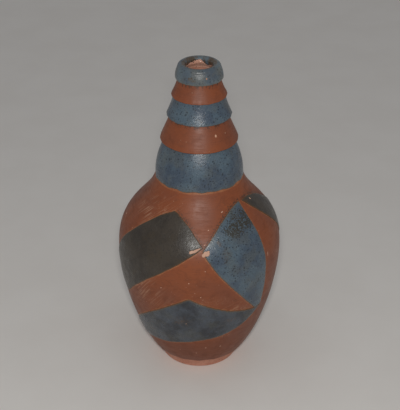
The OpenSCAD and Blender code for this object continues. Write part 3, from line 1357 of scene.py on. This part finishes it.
class BodyDress:
    """What the eye sees of the body: its slip, the glaze patches, and where they are chipped."""

    def __init__(self, profile: BodyProfile, finishes: Finishes) -> None:
        """Lays out the patches and the damage.

        Args:
            profile: the body's outline.
            finishes: the mixed finishes.
        """
        self.profile = profile
        self.finishes = finishes
        self.outlines = {shape.name: shape.outline(profile) for shape in PATCHES}
        self.chips = [chip.outline(profile) for chip in GLAZE_CHIPS]
        self.nicks = [chip.outline(profile) for chip in SLIP_NICKS + self.stray_nicks()]
        self.turns = 512
        self.row = 0.8 * MM
        self.slip_t = 0.3 * MM

    @staticmethod
    def stray_nicks() -> tuple[Chip, ...]:
        """Scatters small nicks over the rest of the slip."""
        rng = np.random.default_rng(5)
        return tuple(
            Chip(
                float(rng.uniform(-180, 180)),
                float(rng.uniform(20, 160)) * MM,
                float(rng.uniform(0.5, 0.9)) * MM,
                float(rng.uniform(0.35, 0.6)) * MM,
                float(rng.uniform(0, 180)),
                200 + k,
            )
            for k in range(26)
        )

    def near_patches(self, azimuth: np.ndarray, height: np.ndarray) -> tuple[np.ndarray, np.ndarray]:
        """Measures how the slip lies beside the patches.

        Args:
            azimuth: azimuths in radians.
            height: heights in metres.

        Returns:
            The distance to the nearest patch edge, up to 12 mm, and how smoky the place is.
        """
        far = 12 * MM
        gap = np.full(azimuth.shape, far)
        smoke = np.zeros(azimuth.shape)
        up = self.profile.along(height)
        narrow = self.profile.radius(height) / self.profile.belly_r
        for outline in self.outlines.values():
            middle = outline.points.mean(axis=0)
            half_turn = math.pi * self.profile.belly_r
            across = azimuth * self.profile.belly_r
            across = (across - middle[0] + half_turn) % (2 * half_turn) - half_turn + middle[0]
            low, high = outline.points.min(axis=0) - far, outline.points.max(axis=0) + far
            close = (across > low[0]) & (across < high[0]) & (up > low[1]) & (up < high[1])
            places = np.stack([across[close], up[close]], axis=1)
            away = outline.distance(places, narrow[close])
            lifted = outline.distance(places - np.array([0.0, 0.6 * MM]), narrow[close])
            above = np.clip((away - lifted) / (0.6 * MM), 0.0, 1.0)
            outside = ~outline.holds(places)
            near_top = eased(118 * MM, 128 * MM, height[close]) * eased(-0.5, -0.35, azimuth[close])
            haze = np.exp(-away / (1.6 * MM)) * above * outside * near_top
            gap[close] = np.minimum(gap[close], away)
            smoke[close] = np.maximum(smoke[close], haze)
        return gap, smoke

    def slip_half(self, name: str, low: float, high: float, skirt: float = 0.0) -> bpy.types.Object:
        """Builds the slip over one half of the body.

        Args:
            name: the piece's name.
            low: height of its lower edge.
            high: height of its upper edge.
            skirt: how far its lower edge wanders down over the bare foot.

        Returns:
            The closed object.
        """
        profile = self.profile
        run = profile.along(np.array([low, high]))
        rows = int((run[1] - run[0]) / self.row) + 1
        line = profile.height(np.linspace(run[0], run[1], rows))
        azimuth = all_round(self.turns)
        height = np.repeat(line[None, :], self.turns, axis=0)
        azimuths = np.repeat(azimuth, rows, axis=1)

        gap, smoke = self.near_patches(azimuths, height)
        collar_gap = profile.along(np.full(1, profile.shoulder_z - 0.9 * MM)) - profile.along(height)
        gap = np.minimum(gap, np.maximum(collar_gap, 0.0))
        wheel = Ripple(3, (1, 5), 330.0, 18).at(azimuths, height)
        hand = Ripple(4, (3, 11), 40.0, 10).at(azimuths, height)
        sunk = 0.013 * MM * (wheel + 2.0) + 0.03 * MM * (hand + 1.6)
        sunk += 0.09 * MM * np.exp(-((gap / (0.8 * MM)) ** 2))
        outer = profile.points(azimuths, height, -np.clip(sunk, 0.0, 0.28 * MM))
        inner = profile.points(azimuths, height, np.full(height.shape, -self.slip_t))[:, ::-1][:, ::6]
        if skirt:
            wander = skirt * eased(-1.4, 1.6, Ripple(6, (3, 26), 0.0, 16).at(azimuth[:, 0]))
            weight = eased(6 * MM, 0.0, line - low)
            slide = wander[:, None] * weight[None, :]
            lean = math.tan(math.radians(30.7))
            outer[..., 2] -= slide
            outer[..., 0] -= slide * lean * np.sin(azimuths)
            outer[..., 1] += slide * lean * np.cos(azimuths)
        grid = np.concatenate([outer, inner], axis=1)
        columns = grid.shape[1]
        piece = closed_mesh(name, grid.reshape(-1, 3), grid_faces(self.turns, columns, True))
        spare = columns - rows

        def store(label: str, values: np.ndarray) -> None:
            """Stores values on the outside and nothing on the inside."""
            add_values(piece, label, np.concatenate([values, np.zeros((self.turns, spare))], axis=1))

        store("gap", gap / MM)
        store("smoke", smoke)
        places = np.stack([azimuths.ravel() * profile.belly_r, profile.along(height).ravel()], axis=1)
        narrow = (profile.radius(height) / profile.belly_r).ravel()
        scuffs = (
            Blob(-52, 150 * MM, 22 * MM, 12 * MM),
            Blob(-44, 88 * MM, 20 * MM, 14 * MM, 0.9),
            Blob(30, 80 * MM, 20 * MM, 6 * MM, 0.8),
            Blob(150, 120 * MM, 30 * MM, 20 * MM, 0.4),
            Blob(-130, 100 * MM, 26 * MM, 24 * MM, 0.4),
        )
        rubs = (
            Blob(33, 74 * MM, 18 * MM, 3.0 * MM, 0.8),
            Blob(8, 88 * MM, 14 * MM, 3.5 * MM, 0.6),
            Blob(18, 46.5 * MM, 9 * MM, 1.6 * MM, 0.8),
            Blob(32, 52.2 * MM, 9 * MM, 1.8 * MM, 0.9),
            Blob(44, 58.8 * MM, 8 * MM, 2.0 * MM, 0.9),
            Blob(-40, 152 * MM, 8 * MM, 3 * MM, 0.8),
        )
        for label, blobs in (("scuff", scuffs), ("rub", rubs)):
            total = sum(blob.at(profile, places, narrow) for blob in blobs)
            store(label, np.clip(total, 0.0, 1.0).reshape(height.shape))
        self.smooth_seam(piece, outer, columns)
        return piece

    def smooth_seam(self, piece: bpy.types.Object, outer: np.ndarray, columns: int) -> None:
        """Shades the outside with the surface's own normals, so that the two halves meet unseen.

        Args:
            piece: the slip's object.
            outer: the places of its outside.
            columns: points in each of its columns.
        """
        round_way = np.roll(outer, -1, axis=0) - np.roll(outer, 1, axis=0)
        up_way = np.gradient(outer, axis=1)
        normal = np.cross(round_way, up_way)
        radius = np.hypot(outer[..., 0], outer[..., 1])
        height = outer[..., 2]
        across, up = self.profile.normal(height)
        plain = np.stack([across * outer[..., 0] / radius, across * outer[..., 1] / radius, up], axis=-1)
        normal /= np.linalg.norm(normal, axis=-1, keepdims=True)
        normal[:, [0, -1]] = plain[:, [0, -1]]
        full = np.zeros((outer.shape[0], columns, 3))
        full[:, : outer.shape[1]] = normal
        piece.data.normals_split_custom_set_from_vertices(full.reshape(-1, 3).tolist())

    def slips(self) -> None:
        """Builds the slip over both halves of the body."""
        profile = self.profile
        low = self.slip_half("lower_body_slip", profile.foot_h, profile.belly_z, skirt=1.0 * MM)
        high = self.slip_half("upper_body_slip", profile.belly_z, profile.shoulder_z)
        for piece in (low, high):
            dress(piece, self.finishes.slip, Slot.RED_SLIP, "body_slip")

    def patches(self) -> None:
        """Builds the six glaze patches, open where a flake has come off."""
        skin = GlazeSkin(self.profile)
        for shape in PATCHES:
            outline = self.outlines[shape.name]
            holes = [chip for chip in self.chips if outline.holds(chip.points).any()]
            piece, places = skin.build(shape.name, outline, shape.seed, holes)
            height = self.profile.height(places[:, 1])
            narrow = self.profile.radius(height) / self.profile.belly_r
            add_values(piece, "edge", np.minimum(outline.distance(places, narrow) / MM, 12.0))
            for label, blobs in (("bloom", shape.blooms), ("crust_and_painted_glint", shape.crusts_and_painted_glints), ("iron", shape.irons)):
                total = sum((b.at(self.profile, places, narrow) for b in blobs), np.zeros(len(places)))
                add_values(piece, label, np.clip(total, 0.0, 1.0))
            dress(piece, self.finishes.patch(shape), shape.slot, shape.node)

    def damage(self) -> None:
        """Builds the bare floors of the chips and the nicks."""
        floor = GlazeSkin(self.profile, 0.12 * MM, 0.3 * MM, 0.05 * MM, 0.15 * MM, 0.5 * MM, 0.05 * MM)
        nick = GlazeSkin(self.profile, 0.05 * MM, 0.25 * MM, 0.06 * MM, 0.15 * MM, 0.4 * MM, 0.02 * MM)
        for kind, maker, outlines in (("chip", floor, self.chips), ("nick", nick, self.nicks)):
            parts = []
            for index, outline in enumerate(outlines):
                if kind == "chip":
                    wider = Outline(outline.points - outline.inward() * 0.25 * MM)
                else:
                    wider = outline
                parts.append(maker.build(f"{kind}_{index}", wider, 300 + index)[0])
            joined = join(f"bare_{kind}s", parts)
            dress(joined, self.finishes.chip, Slot.BARE_CLAY)


def join(name: str, parts: Sequence[bpy.types.Object]) -> bpy.types.Object:
    """Joins closed parts into one object.

    Args:
        name: the new object's name.
        parts: the objects to join, which are removed.

    Returns:
        The joined object.
    """
    points, faces, start = [], [], 0
    for part in parts:
        mesh = part.data
        points += [tuple(v.co) for v in mesh.vertices]
        faces += [tuple(start + i for i in face.vertices) for face in mesh.polygons]
        start += len(mesh.vertices)
        bpy.data.objects.remove(part)
        bpy.data.meshes.remove(mesh)
    return closed_mesh(name, np.array(points), faces)


def dress(piece: bpy.types.Object, material: bpy.types.Material, slot: Slot, *nodes: str) -> None:
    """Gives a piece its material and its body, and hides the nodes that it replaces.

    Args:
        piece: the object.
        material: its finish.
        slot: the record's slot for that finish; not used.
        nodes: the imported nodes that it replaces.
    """
    piece.data.materials.clear()
    piece.data.materials.append(material)
    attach(piece, BODY)
    if nodes:
        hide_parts(*nodes)
    LOG.info("%s: %d faces, %s", piece.name, len(piece.data.polygons), material.name)


# ---------------------------------------------------------------------------------------------
# Neck, mouth and foot
# ---------------------------------------------------------------------------------------------


@dataclass
class NeckRing:
    """One thrown ring of the neck, as its coat shows it."""

    name: str
    node: str
    top_r: float
    overhang: float
    crease_r: float
    bulge: float
    coat: float
    seed: int
    hang: float = 0.0
    nicks: tuple[tuple[float, float, float], ...] = ()
    lip_h: float = 0.7 * MM
    turns: int = 320

    def __post_init__(self) -> None:
        """Takes the ring's heights from the frame."""
        low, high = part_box(self.node)
        self.low, self.high = low.z, high.z

    def side(self, inset: float, steps: int, top: float) -> np.ndarray:
        """Traces the lip and the side, moved in by an inset.

        Args:
            inset: how far the path is moved in.
            steps: points along the side.
            top: height at which the side ends.

        Returns:
            An array of radius and height, from under the lip upwards.
        """
        lip, lip_z = self.crease_r + self.overhang, self.low + self.lip_h
        turn = np.linspace(0.0, math.pi / 2, 9)[:-1]
        under = np.stack(
            [
                self.crease_r + (lip - inset - self.crease_r) * np.sin(turn),
                lip_z - (self.lip_h - inset) * np.cos(turn),
            ],
            axis=1,
        )
        u = np.linspace(1.0, 0.0, steps)
        swell = u + 2 * self.bulge * u * (1 - u)
        flank = np.stack([self.top_r + (lip - self.top_r) * swell - inset, top - (top - lip_z) * u], axis=1)
        return np.vstack([under, flank])

    def bared(self, azimuth: np.ndarray, heights: np.ndarray) -> np.ndarray:
        """Tells how far the coat is knocked off.

        Args:
            azimuth: azimuths of the places, in radians.
            heights: their heights.

        Returns:
            A value from 0 to 1 for each place.
        """
        total = np.zeros(np.broadcast(azimuth, heights).shape)
        for turn, height, size in self.nicks:
            across = (azimuth - math.radians(turn)) * self.crease_r / (0.75 * size * MM)
            total += np.exp(-(across**2) - ((heights - height * MM) / (size * MM)) ** 2)
        return np.clip(1.6 * total, 0.0, 1.0)

    def build(self) -> bpy.types.Object:
        """Builds the coat, with a wavering lip and fine turning lines."""
        outer = self.side(0.0, 44, self.high)
        inner = self.side(self.coat, 20, self.high)[::-1]
        path = np.vstack([outer, inner])
        azimuth = all_round(self.turns)
        radii = np.repeat(path[None, :, 0], self.turns, axis=0)
        heights = np.repeat(path[None, :, 1], self.turns, axis=0)
        outside = np.concatenate([np.ones(len(outer)), np.zeros(len(inner))])[None, :]
        lip_z = self.low + self.lip_h
        lip = np.exp(-np.abs(path[:, 1] - lip_z) / (2.2 * MM))[None, :]
        waver = Ripple(self.seed, (2, 24), 0.0, 16).at(azimuth)
        wheel = Ripple(self.seed + 1, (1, 4), 420.0, 16).at(azimuth, heights)
        radii = radii - (0.11 * MM * (waver + 1.6) * lip + 0.012 * MM * (wheel + 2.0)) * outside
        if self.hang:
            droop = self.hang * eased(-1.5, 1.6, Ripple(self.seed + 2, (4, 30), 0.0, 18).at(azimuth))
            low = eased(2.0 * MM, 0.0, path[:, 1] - self.low)[None, :]
            heights = heights - droop * low
            radii = radii + droop * low * 0.55
        else:
            uneven = Ripple(self.seed + 2, (2, 18), 0.0, 16).at(azimuth)
            heights = heights + 0.13 * MM * uneven * lip * outside
        bare = self.bared(azimuth, heights) * outside
        piece = turned_mesh(self.name, radii - 0.1 * MM * bare, heights)
        add_values(piece, "bare", bare)
        rise = np.concatenate([outer[:, 1] - self.low, np.full(len(inner), 6 * MM)])
        fall = np.concatenate([self.high - outer[:, 1], np.full(len(inner), 6 * MM)])
        add_values(piece, "edge", np.tile(np.minimum(rise, 12 * MM) / MM + 0.15, self.turns))
        gap = np.minimum(rise + 0.6 * MM, fall + 0.4 * MM)
        add_values(piece, "gap", np.tile(np.minimum(gap, 12 * MM) / MM, self.turns))
        shown = np.maximum(fall - 1.7 * MM, 0.0)[None, :] / (1.3 * MM)
        hem = 0.5 * np.exp(-shown) * eased(-0.8, 0.9, Ripple(self.seed + 3, (3, 40), 0.0).at(azimuth))
        add_values(piece, "smoke", hem)
        return piece


@dataclass
class Neck:
    """The four stepped rings below the rim."""

    finishes: Finishes

    def build(self) -> None:
        """Builds the coats of the rings."""
        rings = (
            (
                NeckRing(
                    "collar_coat", "collar_glaze", 26.1 * MM, 0.3 * MM, 34.0 * MM, 0.5, 0.5 * MM, 101,
                    hang=0.9 * MM,
                ),
                Slot.BLUE_GLAZE,
            ),
            (
                NeckRing(
                    "lower_step_coat", "lower_step_slip", 21.8 * MM, 4.1 * MM, 26.1 * MM, 0.0, 0.4 * MM, 111,
                    nicks=((29, 210.3, 0.9), (50, 210.0, 0.4)),
                ),
                Slot.RED_SLIP,
            ),
            (
                NeckRing(
                    "middle_step_coat", "middle_step_glaze", 19.5 * MM, 3.2 * MM, 21.8 * MM, -0.19, 0.5 * MM,
                    121,
                ),
                Slot.BLUE_GLAZE,
            ),
            (
                NeckRing(
                    "upper_step_coat", "upper_step_slip", 16.1 * MM, 1.7 * MM, 19.5 * MM, -0.2, 0.4 * MM, 131,
                ),
                Slot.RED_SLIP,
            ),
        )
        materials = {Slot.BLUE_GLAZE: self.finishes.blue, Slot.RED_SLIP: self.finishes.slip}
        for ring, slot in rings:
            dress(ring.build(), materials[slot], slot, ring.node)


@dataclass
class Rim:
    """The top ring: a fat rolled lip, glazed over and into the mouth, with bare clay inside."""

    finishes: Finishes
    top_r: float = 16.4 * MM
    overhang: float = 2.2 * MM
    crease_r: float = 16.1 * MM
    bulge: float = 0.48
    mouth_r: float = 10.0 * MM
    throat_r: float = 12.4 * MM
    edge_h: float = 2.6 * MM
    coat: float = 0.5 * MM
    seat_r: float = 14.3 * MM
    seat_h: float = 2.9 * MM
    lap_depth: float = 4.5 * MM
    bead_turn: float = 177
    bead_depth: float = 3.9 * MM
    turns: int = 320

    def __post_init__(self) -> None:
        """Takes the rim's heights from the frame."""
        low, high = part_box("rim_glaze")
        self.low, self.high = low.z, high.z

    def ring(self) -> NeckRing:
        """Gives the ring that the rim's side follows."""
        return NeckRing(
            "rim_coat", "rim_glaze", self.top_r, self.overhang, self.crease_r, self.bulge, self.coat, 141,
            nicks=((18, 253.9, 0.55),),
        )

    def roll(self, inset: float, steps: int, last: float = math.pi) -> np.ndarray:
        """Traces the rolled lip from the side over its top, moved in by an inset.

        Args:
            inset: how far the path is moved in.
            steps: points along it.
            last: angle round the roll at which it ends, where pi is the mouth.

        Returns:
            An array of radius and height.
        """
        half = (self.top_r - self.mouth_r) / 2
        turn = np.linspace(0.0, last, steps)[1:]
        return np.stack(
            [
                self.mouth_r + half + (half - inset) * np.cos(turn),
                self.high - self.edge_h + (self.edge_h - inset) * np.sin(turn),
            ],
            axis=1,
        )

    def inside(self, inset: float) -> np.ndarray:
        """Traces the lip's inner slope from its top down into the neck.

        Args:
            inset: how far the path is moved in.

        Returns:
            An array of radius and height.
        """
        slope = self.roll(inset, 41)[20:]
        drop = np.linspace(self.edge_h + 0.2 * MM, self.high - self.low - self.seat_h - 0.2 * MM, 30)
        widening = (self.throat_r - self.mouth_r - self.coat) * eased(self.lap_depth, drop[-1], drop)
        bore = np.stack([self.mouth_r + inset + widening, self.high - drop], axis=1)
        return np.vstack([slope, bore])

    @staticmethod
    def followed(line: np.ndarray, lengths: np.ndarray) -> np.ndarray:
        """Gives the places that some lengths reach along a line.

        Args:
            line: radius and height of points along it.
            lengths: how far from the line's start.

        Returns:
            Radius and height for each length.
        """
        run = lengths_along(line)
        return np.stack([np.interp(lengths, run, line[:, k]) for k in (0, 1)], axis=-1)

    def glaze(self) -> bpy.types.Object:
        """Builds the rim's glaze, which runs over the lip to an uneven edge inside the mouth."""
        ring = self.ring()
        side_top = self.high - self.edge_h
        outer = np.vstack([ring.side(0.0, 26, side_top), self.roll(0.0, 22, math.pi / 2)])
        inner = np.vstack([ring.side(self.coat, 16, side_top), self.roll(self.coat, 14, math.pi / 2)])[::-1]
        azimuth = all_round(self.turns)

        def near(turn: float, width: float) -> np.ndarray:
            """Peaks at one azimuth, in degrees."""
            return np.exp(-((away_from(azimuth, turn) / math.radians(width)) ** 2))

        lap = 4.9 + 0.25 * Ripple(151, (2, 16)).at(azimuth) + 2.2 * near(143, 17) - 1.4 * near(-178, 20)
        lap += 2.0 * (near(-98, 32) + near(96, 30))
        share = np.linspace(0.04, 1.0, 26)[None, :]
        down = self.followed(self.inside(0.0), share * lap * MM)
        back = self.followed(self.inside(self.coat + 0.12 * MM), share[:, ::-1] * lap * MM)
        thin = self.coat * 0.9 * share**4
        down[..., 0] += thin
        radii = np.hstack([np.repeat(outer[None, :, 0], self.turns, 0), down[..., 0], back[..., 0],
                           np.repeat(inner[None, :, 0], self.turns, 0)])
        heights = np.hstack([np.repeat(outer[None, :, 1], self.turns, 0), down[..., 1], back[..., 1],
                             np.repeat(inner[None, :, 1], self.turns, 0)])
        shown = len(outer) + share.shape[1]
        outside = np.concatenate([np.ones(len(outer)), np.zeros(radii.shape[1] - len(outer))])[None, :]
        waver = Ripple(143, (2, 20), 0.0, 16).at(azimuth)
        soft = Ripple(144, (3, 22), 120.0, 16).at(azimuth, heights)
        bare = ring.bared(azimuth, heights) * outside
        low = np.exp(-np.abs(heights - self.low - ring.lip_h) / (2.0 * MM))
        top = eased(self.high - 0.1 * MM, self.high - 1.0 * MM, heights)
        radii = radii - (0.1 * MM * (waver + 1.6) * low + 0.04 * MM * (soft + 1.8) * top) * outside
        piece = turned_mesh(ring.name, radii - 0.1 * MM * bare, heights)
        add_values(piece, "bare", bare)
        hidden = np.zeros(radii.shape[1] - shown)
        side_rise = (outer[:, 1] - self.low) / MM + 0.25
        rise = np.concatenate([side_rise, np.full(share.shape[1], 6.0), 6.0 + hidden])
        add_values(piece, "edge", np.tile(np.minimum(rise, 12.0), self.turns))
        centre = (self.top_r + self.mouth_r) / 2
        inward = eased(centre + 1.3 * MM, centre - 0.9 * MM, radii) * (heights > self.high - 9 * MM)
        spared = 1.0 - 0.75 * np.maximum(near(176, 16), 0.9 * near(148, 9))
        streak = near(-20, 12) * np.exp(-(((heights - (self.low + 4.6 * MM)) / (2.4 * MM)) ** 2))
        iron = inward * spared * (np.arange(radii.shape[1]) < shown)
        add_values(piece, "iron", np.clip(iron * (0.8 + 0.3 * soft), 0.0, 1.0) + 0.6 * streak * outside)
        return piece

    def clay(self) -> bpy.types.Object:
        """Builds the rim's clay, rough and bare inside the mouth but for one small bead of glaze."""
        ring = self.ring()
        side = ring.side(self.coat + 0.02 * MM, 12, self.high - self.edge_h)
        edge = self.roll(self.coat + 0.02 * MM, 10, math.pi / 2)[:-1]
        seat_z = self.low + self.seat_h
        seat = np.array([[self.throat_r, seat_z], [self.seat_r, seat_z], [self.seat_r, self.low]])
        wall = self.inside(self.coat + 0.02 * MM)
        path = np.vstack([seat, side, edge, wall])
        azimuth = all_round(self.turns)
        heights = np.repeat(path[None, :, 1], self.turns, axis=0)
        inside = np.concatenate([np.zeros(len(path) - len(wall)), np.ones(len(wall))])[None, :]
        rough = Ripple(161, (6, 90), 500.0, 24).at(azimuth, heights)
        across = away_from(azimuth, self.bead_turn) * self.mouth_r
        up = heights - self.high + self.bead_depth
        bead = np.exp(-((across / (1.5 * MM)) ** 2) - (up / (1.2 * MM)) ** 2)
        radii = path[None, :, 0] + inside * (0.08 * MM * (rough - 0.6) - 0.8 * MM * bead)
        piece = turned_mesh("mouth_clay_with_painted_light", radii, heights)
        add_values(piece, "wet", bead * inside)
        return piece

    def build(self) -> None:
        """Builds the glaze and the clay of the rim."""
        dress(self.glaze(), self.finishes.rim, Slot.BLUE_GLAZE, "rim_glaze")
        dress(self.clay(), self.finishes.mouth, Slot.BARE_CLAY, "rim")


@dataclass
class Foot:
    """The bare turned foot with the hollow under it and the floor of the inside on top."""

    finishes: Finishes
    foot_r: float = 31.4 * MM
    ring_w: float = 7.9 * MM
    hollow_h: float = 3.0 * MM
    plug_r: float = 32.1 * MM
    turns: int = 320

    def build(self) -> None:
        """Builds the foot with its softened edges and tool lines."""
        low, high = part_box("foot_base")
        slip_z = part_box("lower_body")[0].z
        hollow_r = self.foot_r - self.ring_w
        clay_r = high.x
        path = rounded_path(
            [
                (0.4 * MM, self.hollow_h, 0.0),
                (hollow_r - self.hollow_h, self.hollow_h, 1.6 * MM),
                (hollow_r, low.z, 0.8 * MM),
                (self.foot_r, low.z, 1.1 * MM),
                (self.foot_r + 0.45 * (clay_r - self.foot_r) - 0.25 * MM, 0.5 * slip_z, 6 * MM),
                (clay_r, slip_z, 0.2 * MM),
                (self.plug_r, slip_z, 0.2 * MM),
                (self.plug_r, high.z, 0.4 * MM),
                (0.4 * MM, high.z, 0.0),
            ],
            0.8 * MM,
        )
        azimuth = all_round(self.turns)
        radius, rise = path[None, :, 0], path[None, :, 1]
        off_floor = eased(0.5 * MM, 2.0 * MM, rise) * eased(14.5 * MM, 11.5 * MM, rise)
        tool = Ripple(171, (1, 4), 520.0, 18).at(azimuth, np.repeat(rise, self.turns, 0))
        dent = Ripple(172, (3, 22), 90.0, 14).at(azimuth, np.repeat(rise, self.turns, 0))
        outer_side = eased(self.foot_r - 2 * MM, self.foot_r, radius) * off_floor
        radii = radius - outer_side * (0.03 * MM * (tool + 1.8) + 0.07 * MM * (dent + 1.6))
        under = eased(0.5 * MM, 2.5 * MM, rise) * (rise < 4 * MM) * (radius < hollow_r)
        rings = np.sin(2.0 * math.pi * radius / (2.1 * MM) + 0.6 * azimuth)
        heights = np.repeat(rise, self.turns, 0) + under * 0.06 * MM * rings
        dress(turned_mesh("foot_clay", np.broadcast_to(radii, heights.shape), heights, closed=False),
              self.finishes.clay, Slot.BARE_CLAY, "foot_base")


@dataclass
class HiddenClay:
    """The packed clay sections and luting slip behind the coats, which keep their own shape."""

    finishes: Finishes
    sections: tuple[str, ...] = (
        "lower_body",
        "upper_body",
        "collar",
        "lower_step",
        "middle_step",
        "upper_step",
    )

    def build(self) -> None:
        """Gives each packed section its finish."""
        for name in self.sections + ("luting_slip",):
            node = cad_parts[name]
            lute = name == "luting_slip"
            node.data.materials.clear()
            node.data.materials.append(self.finishes.lute if lute else self.finishes.clay)
            LOG.info("%s: packed shape, new finish", name)


# ---------------------------------------------------------------------------------------------
# Studio
# ---------------------------------------------------------------------------------------------


@dataclass
class Studio:
    """A plain pale floor, soft light from beside the camera, and the camera."""

    camera_place: tuple[float, float, float] = (0.00057, -0.7217, 0.5618)
    camera_tilt: float = 59.57
    lens: float = 92.32
    floor_colour: Colour = shade(232, 229, 224)
    floor_patches: Colour = shade(224, 220, 214)
    floor_span: float = 4.0
    floor_steps: int = 24
    floor_drop: float = 0.05 * MM
    sky_colour: Colour = shade(226, 226, 228)
    sky_strength: float = 0.4
    key_power: float = 3.0
    key_size: float = 0.065
    key_lift: float = 0.045

    def floor(self) -> None:
        """Lays the floor."""
        steps = self.floor_steps
        line = np.linspace(-self.floor_span, self.floor_span, steps + 1)
        x, y = np.meshgrid(line, line, indexing="ij")
        points = np.stack([x, y, np.full(x.shape, -self.floor_drop)], axis=-1).reshape(-1, 3)
        row = steps + 1
        faces = [
            (i * row + j, (i + 1) * row + j, (i + 1) * row + j + 1, i * row + j + 1)
            for i in range(steps)
            for j in range(steps)
        ]
        floor = closed_mesh("floor", points, faces)
        r = Recipe("pale_floor", 0.7, 0.2)
        patchy = r.band(r.cloud(60 * MM, 3), *CLOUD_RANGE, 0.0, 0.35)
        colour = r.mix(patchy, self.floor_colour, self.floor_patches)
        dull = r.band(r.cloud(20 * MM, 2), *CLOUD_RANGE, 0.66, 0.74)
        floor.data.materials.append(r.finish(colour, dull, r.cloud(3 * MM, 2), 0.02 * MM))

    def light(self) -> None:
        """Sets the light beside the camera and the pale room round it."""
        place = np.array(self.camera_place) + np.array([0.0, 0.0, self.key_lift])
        lamp = bpy.data.lights.new("key", "AREA")
        lamp.shape = "DISK"
        lamp.size = self.key_size
        lamp.energy = self.key_power
        lamp.color = (1.0, 0.985, 0.96)
        key = bpy.data.objects.new("key", lamp)
        key.location = place.tolist()
        aim = np.array([0.0, 0.0, 0.13]) - place
        key.rotation_euler = (math.acos(-aim[2] / np.linalg.norm(aim)), 0.0, math.atan2(-aim[0], aim[1]))
        bpy.context.scene.collection.objects.link(key)
        world = bpy.data.worlds.new("pale_room")
        world.use_nodes = True
        sky = world.node_tree.nodes["Background"]
        sky.inputs["Color"].default_value = (*self.sky_colour, 1.0)
        sky.inputs["Strength"].default_value = self.sky_strength
        bpy.context.scene.world = world

    def camera(self) -> None:
        """Sets the camera, looking down at the vase's front."""
        lens = bpy.data.cameras.new("camera")
        lens.lens = self.lens
        camera = bpy.data.objects.new("camera", lens)
        camera.location = self.camera_place
        camera.rotation_euler = (math.radians(self.camera_tilt), 0.0, 0.0)
        bpy.context.scene.collection.objects.link(camera)
        bpy.context.scene.camera = camera

    def build(self) -> None:
        """Sets up the floor, the light and the camera."""
        bpy.context.scene.view_settings.view_transform = "Standard"
        self.floor()
        self.light()
        self.camera()


def main() -> None:
    """Builds the vase, piece by piece, and the studio round it."""
    logging.basicConfig(level=logging.INFO, format="%(name)s %(message)s")
    profile = BodyProfile.from_frame()
    finishes = Finishes()
    Studio().build()
    HiddenClay(finishes).build()
    Foot(finishes).build()
    body = BodyDress(profile, finishes)
    body.slips()
    body.patches()
    body.damage()
    Neck(finishes).build()
    Rim(finishes).build()


if __name__ == "__main__":
    main()
